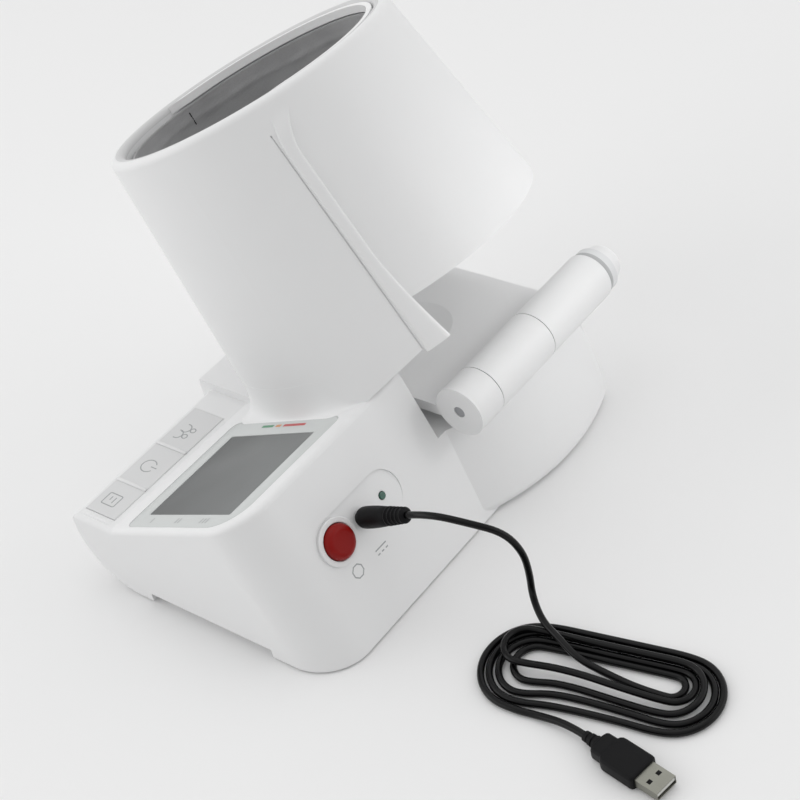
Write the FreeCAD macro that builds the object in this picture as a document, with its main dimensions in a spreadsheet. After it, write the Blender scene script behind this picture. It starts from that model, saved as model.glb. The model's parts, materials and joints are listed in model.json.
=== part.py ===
"""Arm-tunnel blood pressure monitor, in millimetres.

The user sits on the -Y side. The control half is on +X and the arm tunnel on -X. The stop button, the
power socket and the lamp are on the sloping rear face. The origin lies on the table under the base.
"""
import FreeCAD, Part
import math
import os
import re

import Sketcher

# Driving dimensions
SIZES = {
    # base
    "case_right": 112.0, "case_left": 126.5, "case_front": 87.5, "case_back": 74.0, "wall": 2.6,
    "foot_height": 1.2, "foot_radius": 7.0, "foot_pocket": 1.2, "foot_right": 92.0, "foot_left": 96.0,
    "foot_front": 36.0, "foot_back": 50.0,
    "ledge_height": 43.5, "ledge_depth": 27.5, "panel_slope": 23.0, "back_slope": 23.0,
    "hull_radius": 34.0, "end_radius": 24.0, "edge_radius": 3.0,
    "plate_margin": 4.5, "plate_right": 101.0, "plate_front": 52.0, "plate_back": 60.0, "plate_gap": 0.3,
    "deck_height": 48.0, "side_round": 4.0, "deck_right": 8.0, "deck_front_step": 5.5, "deck_corner": 42.0,
    "bulge_x": 68.0, "bulge_y": 38.0, "bulge_radius": 126.5,
    "arch_rise": 5.0, "arch_depth": 8.0, "arch_front": 46.0, "arch_back": 34.0,
    "bulkhead": 5.0, "slack": 0.3, "room": 400.0, "overrun": 20.0,
    # arm tunnel
    "tunnel_x": 58.3, "tunnel_y": 65.2, "tunnel_height": 194.4, "tunnel_tilt": 24.0,
    "rim_radius": 78.3, "flare_depth": 110.0, "flare_grow": 11.7, "flare_shift_x": 6.9,
    "flare_shift_y": 4.0,
    "seam_x": 8.3, "seam_gap": 0.6, "strip_width": 5.2, "strip_proud": 1.3, "strip_depth": 140.0,
    "exit_depth": 108.0, "exit_front": 30.0, "exit_corner": 18.0,
    "rim_width": 8.3, "rim_above": 3.0, "rim_below": 13.0, "rim_round": 3.6,
    "lip_width": 3.0, "lip_height": 4.0, "lip_start": 65.0, "lip_turn": 195.0,
    "sleeve_inset": 4.8, "sleeve_wall": 1.8, "bladder_wall": 2.2, "lining_inset": 12.3, "lining_wall": 2.2,
    "lining_top": 2.0, "closer_thickness": 3.0,
    # display and keys
    "panel_left": 25.8, "panel_right": 108.5, "panel_low": 10.8, "panel_high": 97.5, "panel_thickness": 1.8,
    "panel_round": 5.0, "panel_far_round": 18.0,
    "glass_left": 37.7, "glass_right": 99.0, "glass_low": 20.5, "glass_high": 88.0, "glass_depth": 4.5,
    "keys_left": 22.6, "keys_right": 105.4, "keys_front": 84.0, "keys_rear": 62.4, "key_gap": 0.8,
    "key_pitch": 29.8, "key_thickness": 3.4, "key_proud": 0.4, "key_stem": 3.0, "key_travel": 1.2,
    "key_round": 0.6,
    "key_flange": 0.9, "key_flange_height": 1.0, "mat_inset": 3.0, "mat_thickness": 1.4, "dome_height": 1.0,
    "dome_radius": 5.0,
    # rear face
    "row_height": 52.5, "row_tilt": 2.7, "row_sink": 0.5,
    "recess_left": 24.0, "recess_right": 84.0, "recess_width": 26.0, "recess_depth": 0.5,
    "stop_x": 70.0, "stop_radius": 8.7, "stop_proud": 4.5, "stop_depth": 6.0, "stop_dome": 3.6,
    "stop_flange": 1.4, "stop_flange_height": 1.6, "stop_travel": 3.0,
    "ring_width": 3.0, "ring_height": 1.6, "ring_round": 0.5,
    "switch_side": 14.0, "switch_height": 8.0, "switch_leg": 2.4, "switch_leg_width": 10.0,
    "switch_plate": 2.0,
    "socket_x": 52.5, "socket_side": 10.0, "socket_length": 14.0, "socket_slack": 0.1,
    "socket_bore_depth": 9.0,
    "lamp_x": 36.0, "lamp_radius": 1.9, "lamp_length": 6.0, "lamp_proud": 0.8, "lamp_round": 0.5,
    # elbow rest and its hinge
    "hinge_y": 68.0, "hinge_rise": 19.0, "bar_radius": 13.5, "bar_left": 126.0, "bar_right": 12.0,
    "bracket_left": 74.0, "bracket_right": 30.0, "bracket_front": 56.0, "bracket_back": 66.0,
    "knuckle_gap": 0.5,
    "pin_radius": 3.0, "pin_slack": 0.1, "washer_radius": 12.6, "washer_thickness": 7.0,
    "cap_radius": 10.0, "cap_length": 8.0, "cap_round": 2.0, "rest_left": 106.0, "rest_right": 16.0,
    "rest_front": 50.0, "rest_gap": 8.0, "rest_thickness": 6.0, "rest_notch": 52.0, "rest_round": 16.0,
    "dish_radius": 90.0, "dish_depth": 2.4, "dish_y": 2.0, "rest_switch": 6.0, "rest_switch_height": 1.8,
    "rest_switch_y": 40.0,
    # inside
    "board_left": 4.0, "board_right": 104.0, "board_front": 80.0, "board_back": 30.0, "board_height": 24.0,
    "board_thickness": 1.6, "standoff_radius": 3.0, "standoff_inset": 10.0, "standoff_front": 40.0,
    "pump_radius": 10.5, "pump_length": 58.0, "pump_left": 100.0, "pump_y": 31.0,
    "pump_drop": 14.5, "nozzle_radius": 2.0, "nozzle_length": 7.0, "saddle_width": 4.0, "saddle_drop": 3.5,
    "valve_length": 24.0, "valve_width": 16.0, "valve_headroom": 7.1, "valve_left": 39.0,
    "hose_radius": 3.2, "hose_slack": 0.1, "hose_run": 15.0, "buzzer_radius": 13.0, "buzzer_height": 5.0,
    "buzzer_x": 72.0, "buzzer_y": 14.0,
    "cell_radius": 7.1, "cell_pitch": 15.0, "cell_inset": 2.1, "cell_gap": 0.8,
    "cell_lift": 0.5,
    "contact_thickness": 0.5, "contact_side": 11.0,
    "door_margin": 4.7, "door_width": 36.0, "door_thickness": 2.0, "door_gap": 0.4, "door_lip": 1.0,
    "bay_wall": 1.6, "bay_height": 20.0,
    "screw_radius": 1.4, "screw_head": 2.8, "screw_head_height": 1.8, "screw_length": 16.0,
    "boss_height": 2.1,
    "post_radius": 4.2,
    "post_slack": 0.1, "post_right": 86.0, "post_left": 108.0, "post_front": 46.0, "post_back": 40.0,
    # cord
    "cord_radius": 1.7, "plug_radius": 5.2, "plug_length": 20.0, "plug_stand": 1.6, "plug_round": 0.8,
    "plug_tip_radius": 2.7, "plug_tip_length": 12.0, "boot_radius": 4.3, "boot_end_radius": 3.1,
    "boot_length": 12.0,
    "rib_width": 1.6, "rib_height": 0.6, "lead_run": 15.0,
    "hank_x": 52.0, "hank_y": 178.0, "hank_turn": 11.4, "hank_run": 61.5, "hank_front": 2.3,
    "hank_rear": 10.7,
    "front_step": 5.0, "rear_step": 2.9, "rear_lift": 2.8, "hank_start": 12.0, "hank_lead": 10.0,
    "hank_lift": 0.2,
    "tail_run": 12.5,
    "usb_x": 83.4, "usb_y": 190.0, "usb_turn": 9.2, "usb_boot_length": 8.0, "usb_boot_end": 2.4,
    "usb_boot_radius": 3.0, "usb_length": 25.0, "usb_width": 16.0, "usb_height": 8.0,
    "usb_round": 2.0, "usb_shell_length": 12.0, "usb_shell_width": 12.0, "usb_shell_height": 4.5,
    "usb_shell_wall": 0.4, "usb_tongue_height": 1.8, "usb_tongue_gap": 0.2,
}
HANK_LOOPS = 5
RIB_COUNT = 4
POINTS_PER_EDGE = 24
LEAST_CORD_GAP = 0.4
BEND_SHARE = 0.45
SADDLE_SHARES = (0.15, 0.85)
STRAIGHT_SHARE = 1e-6

# Route of the cord between the plug's boot and the hank, chosen by eye
LEAD_POINTS = [(46.5, 116.0, 66.0), (38.5, 127.0, 58.0), (34.5, 133.0, 45.0), (33.5, 134.5, 31.0),
               (35.5, 135.0, 18.5),
               (41.0, 142.0, 10.5), (47.0, 153.5, 9.2), (52.0, 166.0, 5.0)]


def sized(text):
    """Return an expression with every size name pointing into the sheet."""
    return re.sub(r"[a-z][a-z_]+", lambda m: "Sizes." + m.group() if m.group() in SIZES else m.group(), text)


def bind(item, **expressions):
    """Bind properties of a document object; a double underscore stands for a dot."""
    for name, text in expressions.items():
        item.setExpression(name.replace("__", "."), sized(text))
    return item


def place(item, x="0", y="0", z="0"):
    """Bind where an object stands."""
    return bind(item, Placement__Base__x=x, Placement__Base__y=y, Placement__Base__z=z)


doc = FreeCAD.newDocument("arm_monitor")
sheet = doc.addObject("Spreadsheet::Sheet", "Sizes")
for row, (alias, value) in enumerate(SIZES.items(), start=1):
    sheet.set(f"A{row}", alias)
    sheet.set(f"B{row}", str(value))
    sheet.setAlias(f"B{row}", alias)
doc.recompute()


def size(name):
    """Read one driving dimension from the sheet."""
    return float(sheet.get(name))


# Frames in which pieces are placed
def turned(item, axis, angle):
    """Turn an object about an axis by a bound angle."""
    item.Placement = FreeCAD.Placement(FreeCAD.Vector(), FreeCAD.Rotation(FreeCAD.Vector(*axis), 1))
    return bind(item, Placement__Rotation__Angle=angle)


def tilted(item, angle, origin, x, y, z):
    """Place an object in a frame that is turned about X by an angle and stands at an origin."""
    turned(item, (1, 0, 0), angle)
    return place(item, f"{origin[0]} + ({x})",
                 f"{origin[1]} + ({y}) * cos({angle}) - ({z}) * sin({angle})",
                 f"{origin[2]} + ({y}) * sin({angle}) + ({z}) * cos({angle})")


def in_tunnel(item, x="0", y="0", z="0"):
    """Tunnel frame: Z along its axis, out of the rim; Y towards the rear."""
    return tilted(item, "tunnel_tilt", ("-tunnel_x", "-tunnel_y", "tunnel_height"), x, y, z)


def on_panel(item, x="0", y="0", z="0"):
    """Display frame: Y up the slope from the ledge, Z out of the panel."""
    return tilted(item, "panel_slope", ("0", "ledge_depth - case_front", "ledge_height"), x, y, z)


def on_back(item, x="0", y="0", z="0"):
    """Rear frame: X along the face, Y down the floor of the fittings' row, Z out of that floor."""
    origin = ("0", "case_back - row_height * sin(back_slope)", "row_height * cos(back_slope)")
    return tilted(item, "(back_slope + row_tilt - 90)", origin, x, y, z)


# Solids
def box(name, length, width, height):
    item = doc.addObject("Part::Box", name)
    return bind(item, Length=length, Width=width, Height=height)


def cylinder(name, radius, height):
    item = doc.addObject("Part::Cylinder", name)
    return bind(item, Radius=radius, Height=height)


def cylinder_along_x(name, radius, length):
    return turned(cylinder(name, radius, length), (0, 1, 0), "90")


def cone(name, low_radius, high_radius, height):
    item = doc.addObject("Part::Cone", name)
    return bind(item, Radius1=low_radius, Radius2=high_radius, Height=height)


def cut(name, base, *tools):
    """Cut one or more tools from a base."""
    item = doc.addObject("Part::Cut", name)
    item.Base = base
    item.Tool = tools[0] if len(tools) == 1 else fuse(name + "Tools", *tools)
    return item


def common(name, *shapes):
    item = doc.addObject("Part::MultiCommon", name)
    item.Shapes = shapes
    return item


def fuse(name, *shapes):
    item = doc.addObject("Part::MultiFuse", name)
    item.Shapes = shapes
    return item


def group(name, *shapes):
    """Keep separate solids of one node together."""
    item = doc.addObject("Part::Compound", name)
    item.Links = shapes
    return item


def tube(name, outer, inner, height, put, **where):
    """A ring or pipe between two radii, placed by one of the frame functions."""
    return cut(name, put(cylinder(name + "Outer", outer, height), **where),
               put(cylinder(name + "Inner", inner, height), **where))


def rounded(name, base, radius, chosen):
    """Round the edges of a solid that a test on the edge picks out."""
    doc.recompute()
    item = doc.addObject("Part::Fillet", name)
    item.Base = base
    item.Edges = [(i, size(radius), size(radius)) for i, edge in enumerate(base.Shape.Edges,
                                                                           start=1) if chosen(edge)]
    return item


def upright(edge, direction):
    """Tell whether a straight edge runs along a direction."""
    first, last = edge.Vertexes[0].Point, edge.Vertexes[-1].Point
    run = last - first
    return edge.Curve.TypeId == "Part::GeomLine" and run.cross(direction).Length < run.Length * STRAIGHT_SHARE


def profile_block(name, points, start, length, rounds=()):
    """A prism along X with a YZ outline; points are (y, z), rounds are (radius, point of an edge)."""
    body = doc.addObject("PartDesign::Body", name)
    sketch = body.newObject("Sketcher::SketchObject", name + "Outline")
    plane = next(p for p in body.Origin.OriginFeatures if p.Role == "YZ_Plane")
    sketch.AttachmentSupport = (plane, [""])
    sketch.MapMode = "FlatFace"
    count = len(points)
    turns = [math.tau * i / count for i in range(count)]
    spots = [FreeCAD.Vector(2 + math.cos(turn), 2 - math.sin(turn), 0) for turn in turns]
    for i in range(count):
        sketch.addGeometry(Part.LineSegment(spots[i], spots[(i + 1) % count]))
    for i in range(count):
        sketch.addConstraint(Sketcher.Constraint("Coincident", i, 2, (i + 1) % count, 1))
    for i, (y, z) in enumerate(points):
        for kind, text, spot in (("DistanceX", y, spots[i].x), ("DistanceY", z, spots[i].y)):
            where = sketch.addConstraint(Sketcher.Constraint(kind, -1, 1, i, 1, spot))
            sketch.setExpression(f"Constraints[{where}]", sized(text))
    tip = body.newObject("PartDesign::Pad", name + "Pad")
    tip.Profile = sketch
    bind(tip, Length=length)
    place(body, *start)
    doc.recompute()
    for number, (radius, corners) in enumerate(rounds):
        edges = [f"Edge{i}" for i, edge in enumerate(tip.Shape.Edges, start=1) if corners(edge,
                                                                                          tip.Shape.BoundBox)]
        fillet = body.newObject("PartDesign::Fillet", f"{name}Round{number}")
        fillet.Base = (tip, edges)
        bind(fillet, Radius=radius)
        doc.recompute()
        tip = fillet
    return body


# Base
FRONT_TO_BACK = "(case_front + case_back)"
PANEL_RISE = "(tan(panel_slope) * tan(back_slope))"
CREST = (f"(({FRONT_TO_BACK} - ledge_height * tan(back_slope) + ledge_depth * {PANEL_RISE})"
         f" / (1 + {PANEL_RISE}))")
CREST_HEIGHT = f"(ledge_height + ({CREST} - ledge_depth) * tan(panel_slope))"
FLOOR = "(foot_height + wall)"


def control_block(name, inset, start, length, rounds):
    """The control half's outline, drawn in by an inset on every side."""
    crest = (f"(({FRONT_TO_BACK} - ledge_height * tan(back_slope) + ledge_depth * {PANEL_RISE}"
             f" + {inset} * (tan(back_slope) / cos(panel_slope) - 1 / cos(back_slope)))"
             f" / (1 + {PANEL_RISE}))")
    points = [(inset, f"foot_height + {inset}"),
              (inset, f"ledge_height - {inset}"),
              (f"ledge_depth + {inset} * tan(panel_slope / 2)", f"ledge_height - {inset}"),
              (crest,
               f"ledge_height + ({crest} - ledge_depth) * tan(panel_slope) - {inset} / cos(panel_slope)"),
              (f"{FRONT_TO_BACK} - (foot_height + {inset}) * tan(back_slope) - {inset} / cos(back_slope)",
               f"foot_height + {inset}")]
    return profile_block(name, points, (start, "-case_front", "0"), length, rounds)


def at_hull(edge, bounds):
    """The lower front edge."""
    middle = edge.CenterOfMass
    return (upright(edge, FreeCAD.Vector(1, 0, 0)) and middle.y < bounds.YMin + size("slack")
            and middle.z < bounds.ZMin + size("slack"))


def at_end(edge, bounds):
    """The slanting edge between the rear face and the end face."""
    first, last = edge.Vertexes[0].Point, edge.Vertexes[-1].Point
    return (min(first.x, last.x) > bounds.XMax - size("slack") and max(first.y,
                                                                       last.y) > bounds.YMax - size("slack")
            and max(first.z, last.z) > bounds.ZMax - size("slack"))


def at_brim(edge, bounds):
    """The top edges of the end face, of the rear face and of the ledge's front."""
    middle = edge.CenterOfMass
    on_end = middle.x > bounds.XMax - size("end_radius") and middle.z > size("ledge_height") - size("slack")
    along = upright(edge, FreeCAD.Vector(1, 0, 0))
    on_crest = along and middle.z > bounds.ZMax - size("slack")
    at_front = middle.y < bounds.YMin + size("slack")
    on_ledge = along and at_front and middle.z > size("ledge_height") - size("slack")
    return on_end and not along or on_crest or on_ledge


def deck_block(name, inset, start, length):
    """The tunnel half of the base: hull front, flat deck, rear wall that bulges in plan."""
    width = f"({FRONT_TO_BACK} + deck_front_step)"
    low = f"foot_height + {inset}"
    high = f"deck_height - {inset}"
    drawn_in = f"({inset} / cos(back_slope))"
    high_in = f"(({high}) * tan(back_slope) + {drawn_in})"
    low_in = f"(({low}) * tan(back_slope) + {drawn_in})"
    points = [(inset, low), (inset, high), (f"{width} - {high_in}", high), (f"{width} - {low_in}", low)]
    front = "-case_front - deck_front_step"
    block = profile_block(name, points, (start, front, "0"), length, [(f"hull_radius - {inset}", at_hull)])
    tall = f"({high}) - ({low})"
    swell = cone(name + "Swell", f"bulge_radius - {low_in}", f"bulge_radius - {high_in}", tall)
    place(swell, "-bulge_x", "-bulge_y", low)
    half = place(box(name + "Half", length, "bulge_radius", tall), start, "0", low)
    plan = box(name + "Plan", "room", f"bulge_radius - bulge_y + case_front + deck_front_step - 2 * {inset}",
               "room")
    place(plan, f"-case_left + {inset}", f"{front} + {inset}", "0")
    doc.recompute()
    corner = doc.addObject("Part::Fillet", name + "Corners")
    corner.Base = plan
    least = plan.Shape.BoundBox.XMin + size("slack")
    radius = size("deck_corner") - (size("wall") if inset != "0" else 0)
    corner.Edges = [(i, radius, radius) for i, edge in enumerate(plan.Shape.Edges, start=1)
                    if upright(edge, FreeCAD.Vector(0, 0, 1)) and edge.CenterOfMass.x < least]
    return common(name + "Shape", fuse(name + "Whole", block, common(name + "Rear", swell, half)), corner)


control_outer = control_block("ControlOuter", "0", "-seam_x", "case_right + seam_x",
                              [("hull_radius", at_hull), ("end_radius", at_end), ("edge_radius", at_brim)])
control_inner = control_block("ControlInner", "wall", "-seam_x + bulkhead / 2",
                              "case_right + seam_x - bulkhead / 2 - wall",
                              [("hull_radius - wall", at_hull), ("end_radius - wall", at_end)])
deck_sharp = deck_block("DeckOuter", "0", "-case_left", "case_left + deck_right")


def at_swell_foot(edge):
    """The bottom edge of the bulging rear wall and of the corner beside it."""
    return (edge.Curve.TypeId == "Part::GeomCircle" and edge.CenterOfMass.y > 0
            and edge.BoundBox.ZMax < size("foot_height") + size("slack"))


deck_outer = rounded("DeckRound", deck_sharp, "side_round", at_swell_foot)
deck_inner = deck_block("DeckInner", "wall", "-case_left + wall", "case_left - seam_x - bulkhead / 2 - wall")


# Arm tunnel
RIM_BORE = "(rim_radius - rim_width)"
LINING_BORE = "(rim_radius - lining_inset)"
PUMP_HEIGHT = "(deck_height - pump_drop)"
VALVE_HEIGHT = "(deck_height - wall - valve_headroom - bay_height - slack)"


def tunnel_solid(name, grow):
    """The flaring outside of the tunnel, grown or shrunk by a radius; it leans to the far rear."""
    radius = "rim_radius + flare_grow * {} / flare_depth + ({})"
    item = cone(name, radius.format("(-overrun)", grow), radius.format("room / 2", grow),
                "room / 2 + overrun")
    down = FreeCAD.Vector(-size("flare_shift_x"), size("flare_shift_y"), -size("flare_depth"))
    tilt = FreeCAD.Rotation(FreeCAD.Vector(1, 0, 0), size("tunnel_tilt"))
    along = tilt.multVec(down).normalize()
    rim = FreeCAD.Vector(-size("tunnel_x"), -size("tunnel_y"), size("tunnel_height"))
    item.Placement = FreeCAD.Placement(rim - along * size("overrun"),
                                       FreeCAD.Rotation(FreeCAD.Vector(0, 0, 1), along))
    return item


def half_room(name, side):
    """All the space on one side of the seam between the two tunnel walls."""
    start = {"right": "-seam_x + seam_gap / 2", "left": "-seam_x - seam_gap / 2 - room"}[side]
    return place(box(name, "room", "room", "room"), start, "-room / 2", FLOOR)


tunnel_wall = cut("TunnelWall", tunnel_solid("TunnelOuter", "0"), tunnel_solid("TunnelInner", "-wall"))
below_rim = in_tunnel(box("BelowRim", "room", "room", "room"), "-room / 2", "-room / 2", "-room - rim_below")
undercut = tilted(box("Undercut", "room", "room", "room"), "45",
                  ("0", f"({CREST} - case_front)", CREST_HEIGHT), "-room / 2", "-room / 2", "-room")
short_wall = cut("ShortWall", common("WallBelowRim", tunnel_wall, below_rim), undercut)
panel_wall = common("PanelWall", short_wall, half_room("RightRoom", "right"))
STRIP_LEFT = "(seam_x + seam_gap / 2 + strip_width)"
exit_rear = in_tunnel(box("ExitRear", "room", "room", "room"), f"tunnel_x - {STRIP_LEFT} - room",
                      "-exit_front",
                      "-exit_depth - room")
exit_side = in_tunnel(box("ExitSide", "room", "room", "room"), "tunnel_x - case_left + bulkhead * 2 - room",
                      "-room / 2", "-exit_depth - room")
exit_rear_round = rounded("ExitRearRound", exit_rear, "exit_corner", lambda edge: (
    upright(edge, FreeCAD.Vector(1, 0, 0)) and edge.CenterOfMass.z > size("deck_height")
    and edge.CenterOfMass.y < exit_rear.Shape.BoundBox.Center.y - size("room") / 4))
deck_room = place(box("DeckRoom", "room", "room", "room"), "-room / 2", "-room / 2", "deck_height")
far_wall = common("FarWall", short_wall, half_room("LeftRoom", "left"), deck_room)
far_shell = cut("FarShell", far_wall, exit_rear_round, exit_side)
strip_room = in_tunnel(box("StripRoom", "strip_width", "room", "strip_depth - rim_below"),
                       f"tunnel_x - {STRIP_LEFT}", "0", "-strip_depth")
strip_skin = cut("StripSkin", tunnel_solid("StripOuter", "strip_proud"), tunnel_solid("StripInner", "slack"))
seam_strip = cut("SeamStrip", common("StripPiece", strip_skin, strip_room), undercut)

RIM_HEIGHT = "(rim_above + rim_below)"
rim_slab = in_tunnel(box("RimSlab", "room", "room", RIM_HEIGHT), "-room / 2", "-room / 2", "-rim_below")
rim_body = common("RimBody", tunnel_solid("RimOuter", "0"), rim_slab)
rim_plain = cut("RimPlain", rim_body, in_tunnel(cylinder("RimBore", RIM_BORE, RIM_HEIGHT), z="-rim_below"))
rim_ring = rounded("RimRing", rim_plain, "rim_round", lambda edge: (
    edge.Closed and edge.CenterOfMass.z > size("tunnel_height")))


def liner(name, outer, inner, top, bottom):
    """A pipe inside the tunnel between two depths below the rim."""
    return tube(name, outer, inner, f"({bottom}) - ({top})", in_tunnel, z=f"-({bottom})")


LINER_END = "(exit_depth - closer_thickness - slack)"
SLEEVE_BORE = "(rim_radius - sleeve_inset - sleeve_wall)"
cuff_sleeve = liner("CuffSleeve", "rim_radius - sleeve_inset", SLEEVE_BORE, "rim_below + slack", LINER_END)
air_bladder = liner("AirBladder", f"{SLEEVE_BORE} - slack", f"{SLEEVE_BORE} - slack - bladder_wall",
                    "rim_below + 2 * slack", f"{LINER_END} - slack")
cuff_lining = liner("CuffLining", f"{LINING_BORE} + lining_wall", LINING_BORE, "lining_top", "exit_depth")
closer_disc = in_tunnel(box("CloserDisc", "room", "room", "closer_thickness"), "-room / 2", "-room / 2",
                        "-exit_depth")
closer_bore = in_tunnel(cylinder("CloserBore", f"{LINING_BORE} + lining_wall + slack", "room"), z="-room")
closer_plate = common("CloserPlate", tunnel_solid("CloserOuter", "-wall - slack"), closer_disc)
control_room = control_block("ControlRoom", "(-slack)", "-seam_x - slack", "case_right + seam_x", [])
deck_guard = place(box("DeckGuard", "room", "room", "deck_height + slack"), "-room / 2", "-room / 2")
exit_closer = cut("ExitCloser", closer_plate, closer_bore, control_room, deck_guard)
lip_outer = cylinder("LipOuter", f"{RIM_BORE} - slack", "lip_height")
lip_inner = cylinder("LipInner", f"{RIM_BORE} - lip_width", "lip_height")
for part in (lip_outer, lip_inner):
    bind(part, Angle="lip_turn")
    in_tunnel(part, z="-lining_top + slack")
    tilt = FreeCAD.Rotation(FreeCAD.Vector(1, 0, 0), size("tunnel_tilt"))
    part.setExpression("Placement.Rotation.Angle", None)
    part.Placement.Rotation = tilt.multiply(FreeCAD.Rotation(FreeCAD.Vector(0, 0, 1), size("lip_start")))
rim_lip = cut("RimLip", lip_outer, lip_inner)

# Case halves with their openings
HEAD_TOP = "(foot_height + screw_head_height + slack)"
BOSS_TOP = f"({FLOOR} + boss_height)"
SEAT = "(foot_height + wall / 2)"
posts = []
pilots = []
screws = []
heads = []
bosses = []
boss_rooms = []
for side, x in (("Right", "post_right"), ("Left", "-post_left")):
    for end, y in (("Front", "-post_front"), ("Back", "post_back")):
        spot = side + end
        posts.append(place(cylinder("Post" + spot, "post_radius", "room"), x, y))
        bosses.append(place(cylinder("Boss" + spot, "post_radius", f"{BOSS_TOP} - {SEAT}"), x, y, SEAT))
        boss_room = cylinder("BossRoom" + spot, "post_radius + slack", f"{BOSS_TOP} + plate_gap")
        boss_rooms.append(place(boss_room, x, y))
        pilot = cylinder("Pilot" + spot, "screw_radius + post_slack", "screw_length + slack")
        pilots.append(place(pilot, x, y, HEAD_TOP))
        heads.append(place(cylinder("HeadHole" + spot, "screw_head + slack", HEAD_TOP), x, y))
        shank = place(cylinder("Shank" + spot, "screw_radius", "screw_length"), x, y, HEAD_TOP)
        head = cylinder("Head" + spot, "screw_head", "screw_head_height")
        place(head, x, y, f"{HEAD_TOP} - screw_head_height")
        screws.append(fuse("Screw" + spot, shank, head))
case_screws = group("CaseScrews", *screws)

outer = fuse("CaseOuter", control_outer, deck_outer, panel_wall)
inner = fuse("CaseInner", control_inner, deck_inner)
hollow = cut("CaseHollow", inner, fuse("CasePosts", *posts))
feet = []
foot_holes = []
for x in ("foot_right", "-foot_left"):
    for y in ("-foot_front", "foot_back"):
        feet.append(place(cylinder("Foot", "foot_radius", "foot_height + foot_pocket"), x, y))
        foot_holes.append(place(cylinder("FootHole", "foot_radius + slack", "foot_height + foot_pocket"), x,
                                y))
rubber_feet = group("RubberFeet", *feet)

arch = place(box("Arch", "room", "arch_front + arch_back", "arch_rise"), "case_right - arch_depth",
             "-arch_front", "foot_height")
PLATE_LEFT = "(case_left - plate_margin)"
DOOR_LENGTH = f"({PLATE_LEFT} - door_margin - seam_x - bulkhead)"
DOOR_LEFT = f"-({PLATE_LEFT} - door_margin)"
DOOR_TOP = "(foot_height + door_thickness)"
door_hole = place(box("DoorHole", DOOR_LENGTH, "door_width", f"{DOOR_TOP} + slack"), DOOR_LEFT,
                  "-door_width / 2")
battery_door = place(box("BatteryDoor", f"{DOOR_LENGTH} - 2 * door_gap", "door_width - 2 * door_gap",
                         "door_thickness"),
                     f"{DOOR_LEFT} + door_gap", "-door_width / 2 + door_gap", "foot_height")
arch_roof = place(box("ArchRoof", "arch_depth + wall", "arch_front + arch_back + 2 * wall",
                      "arch_rise + wall"),
                  "case_right - arch_depth - wall", "-arch_front - wall", "foot_height")
case_room = cut("CaseRoom", hollow, arch_roof)
plate = place(box("Plate", f"{PLATE_LEFT} + plate_right", "plate_front + plate_back", "wall - plate_gap"),
              f"-{PLATE_LEFT}",
              "-plate_front", "foot_height")
plate_room = place(box("PlateRoom", f"{PLATE_LEFT} + plate_right + 2 * plate_gap",
                       "plate_front + plate_back + 2 * plate_gap", FLOOR),
                   f"-{PLATE_LEFT} - plate_gap", "-plate_front - plate_gap")
bay = place(box("Bay", f"{DOOR_LENGTH} + 2 * bay_wall", "door_width + 2 * bay_wall", f"bay_height - {SEAT}"),
            f"{DOOR_LEFT} - bay_wall", "-door_width / 2 - bay_wall", SEAT)
bay_room = place(box("BayRoom", f"{DOOR_LENGTH} - 2 * door_lip", "door_width - 2 * door_lip",
                     "bay_height - bay_wall"),
                 f"{DOOR_LEFT} + door_lip", "-door_width / 2 + door_lip")
standoffs = []
for x in ("board_left + standoff_inset", "board_right - standoff_inset"):
    for y in ("-standoff_front", "board_back - standoff_inset"):
        standoff = cylinder("Standoff", "standoff_radius", f"board_height - slack - {SEAT}")
        standoffs.append(place(standoff, x, y, SEAT))
saddles = []
for share in SADDLE_SHARES:
    saddle = box("Saddle", "saddle_width", "2 * pump_radius", f"{PUMP_HEIGHT} - saddle_drop - {SEAT}")
    saddles.append(place(saddle, f"-pump_left + {share} * pump_length - saddle_width / 2",
                         "pump_y - pump_radius", SEAT))
pump_room = place(cylinder_along_x("PumpRoom", "pump_radius + slack", "pump_length"), "-pump_left", "pump_y",
                  PUMP_HEIGHT)
lower_case = cut("LowerCase", fuse("LowerWhole", plate, bay, *bosses, *standoffs, *saddles), door_hole,
                 bay_room,
                 pump_room, *pilots, *heads, *foot_holes)

panel_size = ("panel_right - panel_left", "panel_high - panel_low", "panel_thickness")
panel_plain = on_panel(box("PanelPlain", *panel_size), "panel_left", "panel_low", "-panel_thickness")
NORMAL = FreeCAD.Rotation(FreeCAD.Vector(1, 0, 0), size("panel_slope")).multVec(FreeCAD.Vector(0, 0, 1))


def panel_far_corner(edge):
    """The panel's corner that follows the case's rounded end."""
    bounds = panel_plain.Shape.BoundBox
    middle = edge.CenterOfMass
    return upright(edge, NORMAL) and middle.x > bounds.Center.x and middle.y > bounds.Center.y


panel_far = rounded("PanelFar", panel_plain, "panel_far_round", panel_far_corner)
panel_box = panel_plain.Shape.BoundBox
display_panel = rounded("DisplayPanel", panel_far, "panel_round", lambda edge: (
    upright(edge, NORMAL) and (edge.CenterOfMass.x < panel_box.XMin + size("slack")
                               or edge.CenterOfMass.y < panel_box.YMin + size("edge_radius"))))
glass_size = ("glass_right - glass_left", "glass_high - glass_low")
lcd_module = on_panel(box("LcdModule", *glass_size, "glass_depth"), "glass_left", "glass_low",
                      "-panel_thickness - glass_depth - slack")
glass_hole = on_panel(box("GlassHole", "glass_right - glass_left + 2 * slack",
                          "glass_high - glass_low + 2 * slack", "room"),
                      "glass_left - slack", "glass_low - slack", "-room / 2")
key_hole = place(box("KeyHole", "keys_right - keys_left", "keys_front - keys_rear", "room"), "keys_left",
                 "-keys_front",
                 "ledge_height - wall - slack")
recess_bar = on_back(box("RecessBar", "recess_right - recess_left - recess_width", "recess_width", "room"),
                     "recess_left + recess_width / 2", "-recess_width / 2", "-recess_depth")
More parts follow.
